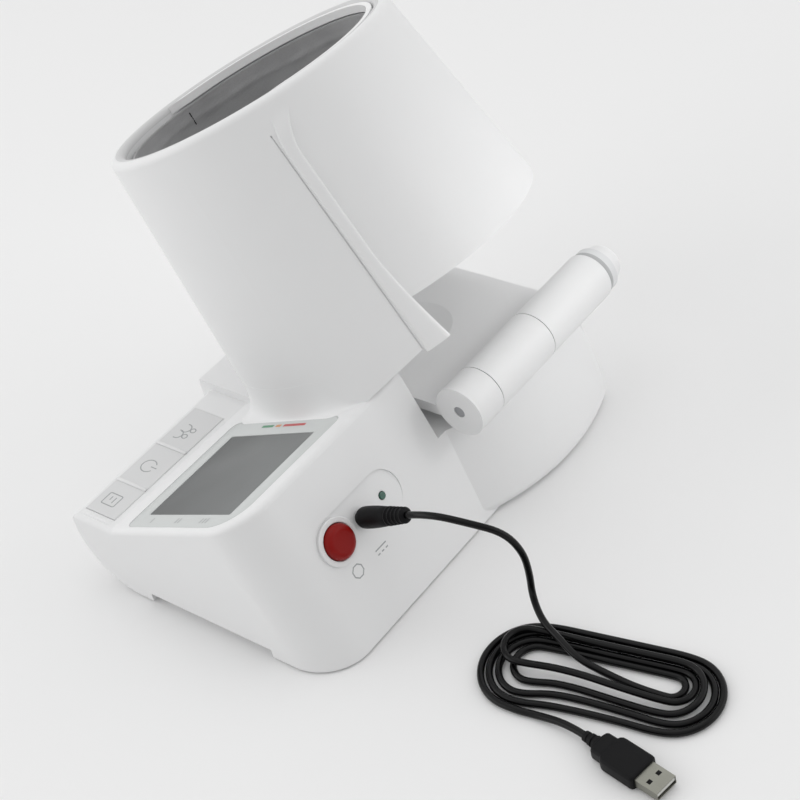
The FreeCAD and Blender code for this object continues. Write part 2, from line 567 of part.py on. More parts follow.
recess_ends = [on_back(cylinder("RecessEnd", "recess_width / 2", "room"), x, z="-recess_depth")
               for x in ("recess_left + recess_width / 2", "recess_right - recess_width / 2")]
stop_hole = on_back(cylinder("StopHole", "stop_radius + slack", "room"), "stop_x", z="-2 * wall")
socket_hole = on_back(cylinder("SocketHole", "plug_tip_radius + slack", "room"), "socket_x", z="-2 * wall")
lamp_hole = on_back(cylinder("LampHole", "lamp_radius + slack", "room"), "lamp_x", z="-2 * wall")
upper_case = cut("UpperCase", outer, case_room, arch, plate_room, *boss_rooms, *pilots, display_panel,
                 glass_hole,
                 key_hole, recess_bar, *recess_ends, stop_hole, socket_hole, lamp_hole)

# Keys, their mat and the board
BOARD_TOP = "(board_height + board_thickness)"
MAT_TOP = f"({BOARD_TOP} + slack + mat_thickness)"
KEY_BOTTOM = "(ledge_height + key_proud - key_thickness)"
STEM_BOTTOM = f"({MAT_TOP} + dome_height + slack + key_travel)"
KEY_SPANS = {"Left": ("keys_left", "keys_left + key_pitch"),
             "Middle": ("keys_left + key_pitch", "keys_left + 2 * key_pitch"),
             "Right": ("keys_left + 2 * key_pitch", "keys_right")}
keys = {}
domes = []
for side, (left, right) in KEY_SPANS.items():
    wide = f"({right}) - ({left}) - key_gap"
    deep = "keys_front - keys_rear - key_gap"
    corner = (f"{left} + key_gap / 2", "-keys_front + key_gap / 2")
    cap = place(box("Cap" + side, wide, deep, "key_thickness"), *corner, KEY_BOTTOM)
    top = rounded("Top" + side, cap, "key_round", lambda edge: edge.BoundBox.ZMin > size("ledge_height"))
    flange = place(box("Flange" + side, wide, f"{deep} + 2 * key_flange", "key_flange_height"), corner[0],
                   f"{corner[1]} - key_flange", "ledge_height - wall - slack - key_flange_height")
    middle = (f"({left} + {right}) / 2", "-(keys_front + keys_rear) / 2")
    stem = place(cylinder("Stem" + side, "key_stem", f"{KEY_BOTTOM} - {STEM_BOTTOM}"), *middle, STEM_BOTTOM)
    keys[side] = fuse("Key" + side, top, flange, stem)
    domes.append(place(cone("Dome" + side, "dome_radius", "key_stem", "dome_height"), *middle, MAT_TOP))
mat_plate = place(box("MatPlate", "keys_right - keys_left", "keys_front - keys_rear - mat_inset",
                      "mat_thickness"),
                  "keys_left", "-keys_front + mat_inset", f"{BOARD_TOP} + slack")
key_mat = fuse("KeyMat", mat_plate, *domes)
board_plate = place(box("BoardPlate", "board_right - board_left", "board_front + board_back",
                        "board_thickness"),
                    "board_left", "-board_front", "board_height")
board_holes = [place(cylinder("BoardHole", "post_radius + slack", "room"), "post_right",
                     y) for y in ("-post_front", "post_back")]
main_board = cut("MainBoard", board_plate, *board_holes)
buzzer = place(cylinder("Buzzer", "buzzer_radius", "buzzer_height"), "buzzer_x", "buzzer_y",
               f"{BOARD_TOP} + slack")

# Stop button, socket and lamp
ring_bore = "stop_radius + slack"
ring_plain = tube("RingPlain", "stop_radius + ring_width", ring_bore, "ring_height", on_back, x="stop_x",
                  z="-recess_depth")
doc.recompute()
ROW_ANGLE = size("back_slope") + size("row_tilt")
BACK_OUT = FreeCAD.Rotation(FreeCAD.Vector(1, 0, 0), ROW_ANGLE - 90).multVec(FreeCAD.Vector(0, 0, 1))


def outermost(base):
    """A test for the round edges of a rear fitting that lie farthest out of the face."""
    reach = max(edge.CenterOfMass.dot(BACK_OUT) for edge in base.Shape.Edges)
    return lambda edge: edge.CenterOfMass.dot(BACK_OUT) > reach - size("slack") and edge.Closed


stop_ring = rounded("StopRing", ring_plain, "ring_round", outermost(ring_plain))
stop_plain = on_back(cylinder("StopPlain", "stop_radius", "stop_proud + stop_depth"), "stop_x",
                     z="-stop_depth")
doc.recompute()
stop_cap = rounded("StopCap", stop_plain, "stop_dome", outermost(stop_plain))
stop_rim = on_back(cylinder("StopRim", "stop_radius + stop_flange", "stop_flange_height"), "stop_x",
                   z="-wall - slack - row_sink - stop_flange_height")
stop_button = fuse("StopButton", stop_cap, stop_rim)
SWITCH_TOP = "(-stop_depth - stop_travel - slack)"
SWITCH_LOW = f"({SWITCH_TOP} - switch_height)"
switch_block = on_back(box("SwitchBlock", "switch_side", "switch_side", "switch_height"),
                       "stop_x - switch_side / 2",
                       "-switch_side / 2", SWITCH_LOW)
LEG_IN = "(stop_radius + stop_flange + 2 * slack)"
switch_plate = on_back(box("SwitchPlate", "switch_leg_width", f"2 * ({LEG_IN} + switch_leg)", "switch_plate"),
                       "stop_x - switch_leg_width / 2", f"-{LEG_IN} - switch_leg", SWITCH_LOW)
LEG_HEIGHT = f"-wall - slack - row_sink - {SWITCH_LOW}"
switch_legs = [on_back(box("SwitchLeg", "switch_leg_width", "switch_leg", LEG_HEIGHT),
                       "stop_x - switch_leg_width / 2", y, SWITCH_LOW)
               for y in (LEG_IN, f"-{LEG_IN} - switch_leg")]
stop_switch = fuse("StopSwitch", switch_block, switch_plate, *switch_legs)
socket_block = on_back(box("SocketBlock", "socket_side", "socket_side", "socket_length"),
                       "socket_x - socket_side / 2",
                       "-socket_side / 2", "-wall - slack - row_sink - socket_length")
socket_bore = on_back(cylinder("SocketBore", "plug_tip_radius + socket_slack", "room"), "socket_x",
                      z="-wall - slack - row_sink - socket_bore_depth")
power_socket = cut("PowerSocket", socket_block, socket_bore)
lamp_plain = on_back(cylinder("LampPlain", "lamp_radius", "lamp_length"), "lamp_x",
                     z="lamp_proud - recess_depth - lamp_length")
doc.recompute()
lamp_lens = rounded("LampLens", lamp_plain, "lamp_round", outermost(lamp_plain))

# Elbow rest and its hinge
HINGE_HEIGHT = "(deck_height + hinge_rise)"
REST_HEIGHT = "(deck_height + rest_gap)"
HINGE = ("hinge_y", HINGE_HEIGHT)


def bar(name, radius, left, right):
    """A round piece on the hinge line between two places left of the origin."""
    return place(cylinder_along_x(name, radius, f"({left}) - ({right})"), f"-({left})", *HINGE)


hinge_bore = bar("HingeBore", "pin_radius + pin_slack", "room", "0")
bracket_web = place(box("BracketWeb", "bracket_left - bracket_right", "bracket_back - bracket_front",
                        "hinge_rise"), "-bracket_left", "bracket_front", "deck_height")
bracket_bar = bar("BracketBar", "bar_radius", "bracket_left", "bracket_right")
hinge_bracket = cut("HingeBracket", fuse("BracketSolid", bracket_web, bracket_bar), hinge_bore)
rest_plate = place(box("RestPlate", "rest_left - rest_right", "rest_front + hinge_y - bar_radius / 2",
                       "rest_thickness"),
                   "-rest_left", "-rest_front", REST_HEIGHT)
rest_round = rounded("RestRound", rest_plate, "rest_round", lambda edge: (
    upright(edge, FreeCAD.Vector(0, 0, 1)) and edge.CenterOfMass.y < 0))
bar_far = bar("BarFar", "bar_radius", "bar_left", "bracket_left + knuckle_gap")
bar_near = bar("BarNear", "bar_radius", "bracket_right - knuckle_gap", "bar_right")
rest_notch = place(box("RestNotch", "bracket_left - bracket_right + 2 * knuckle_gap", "room", "room"),
                   "-bracket_left - knuckle_gap", "rest_notch", "0")
dish = doc.addObject("Part::Sphere", "Dish")
bind(dish, Radius="dish_radius")
place(dish, "-(rest_left + rest_right) / 2", "dish_y",
      f"{REST_HEIGHT} + rest_thickness + dish_radius - dish_depth")
arm_rest = cut("ArmRest", fuse("RestSolid", rest_round, bar_far, bar_near), rest_notch, dish, hinge_bore)
PIN_RIGHT = "(bar_right + knuckle_gap)"
CAP_RIGHT = "(bar_left + 2 * slack + washer_thickness)"
hinge_pin = bar("HingePin", "pin_radius", f"{CAP_RIGHT} + cap_length - cap_round", PIN_RIGHT)
hinge_washer = cut("HingeWasher", bar("WasherDisc", "washer_radius", "bar_left + slack + washer_thickness",
                                      "bar_left + slack"),
                   hinge_bore)
cap_plain = bar("CapPlain", "cap_radius", f"{CAP_RIGHT} + cap_length", CAP_RIGHT)
cap_bore = bar("CapBore", "pin_radius + pin_slack", f"{CAP_RIGHT} + cap_length - cap_round + pin_slack", "0")
doc.recompute()
cap_round = rounded("CapRound", cap_plain, "cap_round", lambda edge: (
    edge.Closed and edge.CenterOfMass.x < cap_plain.Shape.BoundBox.Center.x))
hinge_cap = cut("HingeCap", cap_round, cap_bore)
rest_switch = place(box("RestSwitch", "rest_switch", "rest_switch", "rest_switch_height"),
                    "-(rest_left + rest_right + rest_switch) / 2", "-rest_switch_y", "deck_height")

# Air and batteries
pump_can = place(cylinder_along_x("PumpCan", "pump_radius", "pump_length"), "-pump_left", "pump_y",
                 PUMP_HEIGHT)
nozzle = place(cylinder_along_x("Nozzle", "nozzle_radius", "nozzle_length"), "-pump_left + pump_length",
               "pump_y", PUMP_HEIGHT)
pump = fuse("Pump", pump_can, nozzle)
valve = place(box("Valve", "valve_length", "valve_width", VALVE_HEIGHT), "-valve_left", "-valve_width / 2",
              "bay_height + slack")
CELLS_LEFT = f"({PLATE_LEFT} - door_margin - cell_inset)"
CELL_LENGTH = f"(({DOOR_LENGTH} - cell_gap) / 2 - cell_inset)"
cells = []
contacts = []
for y in ("-cell_pitch / 2", "cell_pitch / 2"):
    for x in (f"-{CELLS_LEFT}", f"-{CELLS_LEFT} + {CELL_LENGTH} + cell_gap"):
        cell = cylinder_along_x("Cell", "cell_radius", CELL_LENGTH)
        cells.append(place(cell, x, y, f"{DOOR_TOP} + cell_lift + cell_radius"))
    for x in (f"-{CELLS_LEFT} - slack - contact_thickness",
              f"-{CELLS_LEFT} + 2 * {CELL_LENGTH} + cell_gap + slack"):
        contact = box("Contact", "contact_thickness", "contact_side", "contact_side")
        contacts.append(place(contact, x, f"{y} - contact_side / 2",
                              f"{DOOR_TOP} + cell_lift + cell_radius - contact_side / 2"))
battery_cells = group("BatteryCells", *cells)
battery_contacts = group("BatteryContacts", *contacts)


# Cord
def solid(name, shape):
    """Keep a shape that is drawn along a route."""
    item = doc.addObject("Part::Feature", name)
    item.Shape = shape
    return item


def bent(name, points):
    """Straight runs through the points, joined by tangent arcs; prints the bends."""
    points = [FreeCAD.Vector(*point) for point in points]
    edges = []
    radii = []
    start = points[0]
    for before, corner, after in zip(points, points[1:], points[2:]):
        reach = BEND_SHARE * min((before - corner).Length, (after - corner).Length)
        back = (before - corner).normalize()
        ahead = (after - corner).normalize()
        half_turn = (math.pi - back.getAngle(ahead)) / 2
        radius = reach / math.tan(half_turn)
        inward = (back + ahead).normalize()
        middle = corner + inward * (radius / math.cos(half_turn) - radius)
        edges.append(Part.makeLine(start, corner + back * reach))
        edges.append(Part.Arc(corner + back * reach, middle, corner + ahead * reach).toShape())
        start = corner + ahead * reach
        radii.append(radius)
    edges.append(Part.makeLine(start, points[-1]))
    print(name, "bend radii", [round(radius, 1) for radius in radii])
    return edges


def drawn(edges, radius):
    """A round tube along edges that follow each other."""
    wire = Part.Wire(edges)
    first = edges[0]
    heading = first.tangentAt(first.FirstParameter)
    section = Part.Wire(Part.makeCircle(radius, first.valueAt(first.FirstParameter), heading))
    return wire.makePipeShell([section], True, False)


def cord(name, edges):
    """A length of the cord; prints its length and how its volume compares with section times length."""
    shape = drawn(edges, size("cord_radius"))
    length = sum(edge.Length for edge in edges)
    print(name, "length", round(length, 1), "volume ratio",
          round(shape.Volume / (math.pi * size("cord_radius") ** 2 * length), 4))
    return solid(name, shape)


def hank_spot(p, q, lift=0.0):
    """A place in the hank: p towards the control end, q along its runs."""
    turn = math.radians(size("hank_turn"))
    return FreeCAD.Vector(size("hank_x") + p * math.cos(turn) - q * math.sin(turn),
                          size("hank_y") + p * math.sin(turn) + q * math.cos(turn),
                          size("cord_radius") + size("hank_lift") + lift)


def half_turn(first, last, heading):
    """A half circle from one run to the next, bulging along a heading."""
    middle = (first + last) / 2 + heading * ((last - first).Length / 2)
    return Part.Arc(first, middle, last).toShape()


def hank_edges():
    """Five loops in one unbroken route; the rear runs lie in two layers."""
    reach = size("hank_run") / 2
    along = (hank_spot(0, 1) - hank_spot(0, 0)).normalize()
    edges = []
    start = hank_spot(size("hank_front"), size("hank_start"))
    for loop in range(HANK_LOOPS):
        front = size("hank_front") + loop * size("front_step")
        rear = -size("hank_rear") - loop * size("rear_step")
        lift = size("rear_lift") * (loop % 2)
        far = hank_spot(front, reach)
        rear_far = hank_spot(rear, reach, lift)
        rear_near = hank_spot(rear, -reach, lift)
        front_near = hank_spot(front + size("front_step"), -reach)
        edges.append(Part.makeLine(start, far))
        edges.append(half_turn(far, rear_far, along))
        edges.append(Part.makeLine(rear_far, rear_near))
        edges.append(half_turn(rear_near, front_near, along * -1))
        start = front_near
    return edges


def least_gap(edges):
    """The least gap between strands of the hank that don't follow each other, measured on points."""
    rows = [edge.discretize(POINTS_PER_EDGE) for edge in edges]
    apart = min((a - b).Length for i,
                row in enumerate(rows) for other in rows[i + 2:] for a in row for b in other)
    return apart - 2 * size("cord_radius")


def rear_spot(x, out):
    """A place on a rear fitting's axis, so far out of the row."""
    slope = math.radians(size("back_slope"))
    foot = FreeCAD.Vector(x, size("case_back") - size("row_height") * math.sin(slope),
                          size("row_height") * math.cos(slope))
    return foot + BACK_OUT * out


BOOT_OUT = "(plug_stand + plug_length)"
plug_tip = on_back(cylinder("PlugTip", "plug_tip_radius", "plug_tip_length"), "socket_x",
                   z="plug_stand - plug_tip_length")
plug_plain = on_back(cylinder("PlugPlain", "plug_radius", "plug_length"), "socket_x", z="plug_stand")
doc.recompute()
power_plug = rounded("PowerPlug", plug_plain, "plug_round", outermost(plug_plain))
boot_core = on_back(cone("BootCore", "boot_radius", "boot_end_radius", "boot_length"), "socket_x", z=BOOT_OUT)
ribs = []
for number in range(RIB_COUNT):
    share = number / RIB_COUNT
    rib = cylinder(f"Rib{number}", f"boot_radius + rib_height - (boot_radius - boot_end_radius) * {share}",
                   "rib_width")
    ribs.append(on_back(rib, "socket_x", z=f"{BOOT_OUT} + (boot_length - rib_width) * {share} + rib_width"))
plug_boot = fuse("PlugBoot", boot_core, *ribs)

hank_route = hank_edges()
hank_gap = least_gap(hank_route)
print("hank least gap", round(hank_gap, 2))
assert hank_gap > LEAST_CORD_GAP
boot_end = size("plug_stand") + size("plug_length") + size("boot_length")
lead_end = hank_spot(size("hank_front"), size("hank_start"))
lead_points = [rear_spot(size("socket_x"), boot_end), rear_spot(size("socket_x"),
                                                                boot_end + size("lead_run")), *LEAD_POINTS,
               hank_spot(size("hank_front"), size("hank_start") - size("hank_lead")), lead_end]
cord_lead = cord("CordLead", bent("CordLead", lead_points))
cord_hank = cord("CordHank", hank_route)

usb_angle = FreeCAD.Rotation(FreeCAD.Vector(0, 0, 1), -size("usb_turn"))
usb_start = FreeCAD.Vector(size("usb_x"), size("usb_y"), size("usb_height") / 2)
usb_ahead = usb_angle.multVec(FreeCAD.Vector(0, 1, 0))
tail_start = hank_route[-1].valueAt(hank_route[-1].LastParameter)
tail_ahead = (hank_spot(0, 1) - hank_spot(0, 0)).normalize()
tail_points = [tail_start, tail_start + tail_ahead * size("tail_run"),
               usb_start - usb_ahead * size("hank_lead"), usb_start]
cord_tail = cord("CordTail", bent("CordTail", tail_points))


def on_usb(item, x, y, z):
    """Plug frame: Y along the plug from the cord's end, Z up from the table."""
    turned(item, (0, 0, 1), "-usb_turn")
    return place(item, f"usb_x + ({x}) * cos(usb_turn) + ({y}) * sin(usb_turn)",
                 f"usb_y - ({x}) * sin(usb_turn) + ({y}) * cos(usb_turn)", z)


def usb_box(name, width, length, height, start, low):
    """A box in the plug frame, centred across the plug."""
    return on_usb(box(name, width, length, height), f"-({width}) / 2", start, low)


usb_boot = cone("UsbBoot", "usb_boot_end", "usb_boot_radius", "usb_boot_length")
place(usb_boot, "usb_x", "usb_y", "usb_height / 2")
usb_boot.Placement.Rotation = usb_angle.multiply(FreeCAD.Rotation(FreeCAD.Vector(1, 0, 0), -90))
usb_plain = usb_box("UsbPlain", "usb_width", "usb_length", "usb_height", "usb_boot_length", "0")
usb_block = rounded("UsbBlock", usb_plain, "usb_round", lambda edge: upright(edge, usb_ahead))
usb_body = fuse("UsbBody", usb_boot, usb_block)
USB_FACE = "(usb_boot_length + usb_length)"
SHELL_LOW = "((usb_height - usb_shell_height) / 2)"
usb_tube = usb_box("UsbTube", "usb_shell_width", "usb_shell_length", "usb_shell_height", USB_FACE, SHELL_LOW)
usb_room = usb_box("UsbRoom", "usb_shell_width - 2 * usb_shell_wall", "usb_shell_length",
                   "usb_shell_height - 2 * usb_shell_wall", USB_FACE, f"{SHELL_LOW} + usb_shell_wall")
usb_shell = cut("UsbShell", usb_tube, usb_room)
TONGUE_TOP = "((usb_height + usb_shell_height) / 2 - usb_shell_wall - usb_tongue_gap)"
usb_tongue = usb_box("UsbTongue", "usb_shell_width - 2 * (usb_shell_wall + usb_tongue_gap)",
                     "usb_shell_length - usb_tongue_gap",
                     "usb_tongue_height", USB_FACE, f"{TONGUE_TOP} - usb_tongue_height")

hose_start = FreeCAD.Vector(size("pump_length") - size("pump_left") + size("slack"), size("pump_y"),
                            size("deck_height") - size("pump_drop"))
hose_corner = hose_start + FreeCAD.Vector(size("hose_run"), 0, 0)
hose_end = FreeCAD.Vector(hose_corner.x, size("valve_width") / 2 + size("slack"), hose_corner.z)
hose_route = bent("AirHose", [hose_start, hose_corner, hose_end])
air_hose = cut("AirHose", solid("HoseOuter", drawn(hose_route, size("hose_radius"))),
               solid("HoseBore", drawn(hose_route, size("nozzle_radius") + size("hose_slack"))))

# Checks and files
NODES = {
    "upper_case": upper_case, "lower_case": lower_case, "rubber_feet": rubber_feet,
    "case_screws": case_screws,
    "battery_door": battery_door, "battery_cells": battery_cells, "battery_contacts": battery_contacts,
    "display_panel": display_panel, "lcd_module": lcd_module, "key_left": keys["Left"],
    "key_middle": keys["Middle"],
    "key_right": keys["Right"], "key_mat": key_mat, "main_board": main_board, "buzzer": buzzer, "pump": pump,
    "valve": valve, "air_hose": air_hose, "stop_ring": stop_ring, "stop_button": stop_button,
    "stop_switch": stop_switch, "power_socket": power_socket, "lamp_lens": lamp_lens, "far_shell": far_shell,
    "seam_strip": seam_strip, "rim_ring": rim_ring, "rim_lip": rim_lip, "cuff_lining": cuff_lining,
    "cuff_sleeve": cuff_sleeve, "air_bladder": air_bladder, "exit_closer": exit_closer,
    "hinge_bracket": hinge_bracket, "arm_rest": arm_rest, "hinge_pin": hinge_pin,
    "hinge_washer": hinge_washer,
    "hinge_cap": hinge_cap, "rest_switch": rest_switch, "plug_tip": plug_tip, "power_plug": power_plug,
    "plug_boot": plug_boot, "cord_lead": cord_lead, "cord_hank": cord_hank, "cord_tail": cord_tail,
    "usb_body": usb_body, "usb_shell": usb_shell, "usb_tongue": usb_tongue,
}
for node, item in NODES.items():
    item.Label = node
doc.recompute()
for item in doc.Objects:
    if any(state in item.State for state in ("Invalid", "Error")):
        raise RuntimeError(f"{item.Name} did not compute: {item.State}")
os.makedirs("parts", exist_ok=True)
for node, item in NODES.items():
    if item.Shape.isNull() or not item.Shape.isValid() or not item.Shape.Solids:
        raise RuntimeError(f"{node} has no sound solid")
    item.Shape.exportStep(f"parts/{node}.step")
    print(node, len(item.Shape.Solids), round(item.Shape.Volume))
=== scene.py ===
"""Looks, studio and camera of an arm-tunnel blood pressure monitor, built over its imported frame."""

import json
import logging
import math
from collections.abc import Callable, Sequence
from dataclasses import dataclass
from enum import Enum

import bmesh
import bpy
from mathutils import Matrix, Vector

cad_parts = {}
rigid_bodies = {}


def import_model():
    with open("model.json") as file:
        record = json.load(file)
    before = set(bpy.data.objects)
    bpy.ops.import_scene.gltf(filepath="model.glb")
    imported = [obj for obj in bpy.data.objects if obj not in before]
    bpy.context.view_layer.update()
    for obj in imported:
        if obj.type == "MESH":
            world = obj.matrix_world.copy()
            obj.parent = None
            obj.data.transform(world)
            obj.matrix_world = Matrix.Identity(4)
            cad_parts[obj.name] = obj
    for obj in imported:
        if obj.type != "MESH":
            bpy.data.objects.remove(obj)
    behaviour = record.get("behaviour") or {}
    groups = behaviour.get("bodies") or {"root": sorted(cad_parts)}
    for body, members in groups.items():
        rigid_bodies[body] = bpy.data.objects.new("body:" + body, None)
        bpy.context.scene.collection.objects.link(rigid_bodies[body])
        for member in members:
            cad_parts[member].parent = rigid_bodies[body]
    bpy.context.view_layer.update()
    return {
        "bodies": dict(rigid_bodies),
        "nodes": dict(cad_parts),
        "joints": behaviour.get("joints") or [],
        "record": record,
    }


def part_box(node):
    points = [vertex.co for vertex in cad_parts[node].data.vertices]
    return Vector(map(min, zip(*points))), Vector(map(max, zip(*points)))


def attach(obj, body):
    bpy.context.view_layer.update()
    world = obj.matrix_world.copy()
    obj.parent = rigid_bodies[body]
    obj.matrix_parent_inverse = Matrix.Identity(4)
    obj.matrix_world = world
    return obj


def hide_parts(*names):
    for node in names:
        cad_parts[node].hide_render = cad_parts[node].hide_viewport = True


LOG = logging.getLogger("arm_tunnel_monitor")
MM = 0.001
HALVINGS = 40

Colour = tuple[float, float, float]
Point = tuple[float, float, float]
Flat = tuple[float, float]
Mesh = bpy.types.Mesh
Thing = bpy.types.Object
Tree = bpy.types.NodeTree
Socket = bpy.types.NodeSocket
Value = Socket | float | tuple


def linear(red: int, green: int, blue: int) -> Colour:
    """A screen colour of 0 to 255 as the linear one that shaders take."""
    parts = [c / 255.0 for c in (red, green, blue)]
    return tuple(c / 12.92 if c <= 0.04045 else ((c + 0.055) / 1.055) ** 2.4 for c in parts)


def between(low: float, high: float, share: float) -> float:
    """The value at a share of the way from one to another."""
    return low + (high - low) * share


def eased(share: float) -> float:
    """A ramp from nought to one that starts and ends softly."""
    share = max(0.0, min(1.0, share))
    return share * share * (3.0 - 2.0 * share)


def halved(low: float, high: float, holds: Callable[[float], bool]) -> float:
    """Finds by halving where a test that holds at the low value stops holding."""
    for _ in range(HALVINGS):
        middle = (low + high) / 2
        low, high = (middle, high) if holds(middle) else (low, middle)
    return (low + high) / 2


def tilted(place: Point, turn: float) -> Matrix:
    """A frame at a place in mm, turned about X by degrees."""
    return Matrix.Translation(place) @ Matrix.Rotation(math.radians(turn), 4, "X")


class Slot(Enum):
    """The record's material slots."""

    WHITE_SHELL = "white_shell"
    WHITE_GLOSS = "white_gloss"
    PANEL_BORDER = "panel_border"
    LCD_GLASS = "lcd_glass"
    GREY_FABRIC = "grey_fabric"
    RED_CAP = "red_cap"
    BLACK_PLASTIC = "black_plastic"
    BLACK_RUBBER = "black_rubber"
    FOOT_RUBBER = "foot_rubber"
    GREEN_LENS = "green_lens"
    PLUG_METAL = "plug_metal"
    STEEL = "steel"
    TONGUE_WHITE = "tongue_white"
    DARK_WASHER = "dark_washer"
    SILICONE = "silicone"
    BLADDER = "bladder"
    BOARD_GREEN = "board_green"
    CELL_WRAP = "cell_wrap"


class Ink(Enum):
    """The finishes of prints, and of pieces whose tone differs from their slot's; the neck, the lip and the
    rim's edge carry painted shade and light.
    """

    GREY = "grey_print"
    GREEN = "green_print"
    ORANGE = "orange_print"
    RED = "red_print"
    KEY_FILM = "key_film"
    # Painted shade: the grey of the hinge bar's white neck in shadow.
    NECK = "grey_neck"
    # Painted light: the lip is the shell's white, made brighter to light its shaded inner face.
    LIP = "bright_lip"
    # Painted shade: the grey of the rim's shaded inner rounding.
    RIM_SHADE = "rim_edge"


class Frames:
    """The slanted working frames of the object, in mm."""

    TUNNEL = tilted((-58.3, -65.2, 194.4), 24.0)
    PANEL = tilted((0.0, -60.0, 43.5), 23.0)
    RECESS = tilted((0.0, 53.487, 48.327), -64.3)
    REAR_FACE = tilted((0.0, 53.487, 48.327), -67.0)


class NodeKit:
    """Wires the nodes of one tree; a value is a socket, a number or a tuple of numbers."""

    MIX_INPUTS = (0, 6, 7)
    MIX_RESULT = 2

    def __init__(self, tree: Tree) -> None:
        """Takes the tree that is wired."""
        self.tree = tree

    def put(self, entry: Socket, value: Value) -> None:
        """Links a socket to an input, or sets the input; a colour gets its alpha."""
        if isinstance(value, Socket):
            self.tree.links.new(value, entry)
        elif isinstance(value, tuple):
            entry.default_value = (*value, 1.0)[: len(entry.default_value)]
        else:
            entry.default_value = value

    def fill(self, node: bpy.types.Node, values: dict[str, Value]) -> bpy.types.Node:
        """Gives a node's inputs their values by name, and gives the node back."""
        for title, value in values.items():
            self.put(node.inputs[title], value)
        return node

    def node(self, kind: str, values: dict[str, Value] | None = None) -> bpy.types.Node:
        """Adds a node, with its inputs' values by name."""
        return self.fill(self.tree.nodes.new(kind), values or {})

    def place(self, name: str = "Object") -> Socket:
        """A texture coordinate."""
        return self.node("ShaderNodeTexCoord").outputs[name]

    def noise(self, vector: Socket, scale: Value, detail: float) -> Socket:
        """A noise texture."""
        values = {"Vector": vector, "Scale": scale, "Detail": detail}
        return self.node("ShaderNodeTexNoise", values).outputs["Fac"]

    def math(self, how: str, *values: Value) -> Socket:
        """A math node on as many values as the operation takes."""
        node = self.node("ShaderNodeMath")
        node.operation = how
        for entry, value in zip(node.inputs, values):
            self.put(entry, value)
        return node.outputs[0]

    def mix(self, share: Value, first: Value, second: Value) -> Socket:
        """A mix of two colours; the share says how much of the second shows."""
        node = self.node("ShaderNodeMix")
        node.data_type = "RGBA"
        for number, value in zip(self.MIX_INPUTS, (share, first, second)):
            self.put(node.inputs[number], value)
        return node.outputs[self.MIX_RESULT]


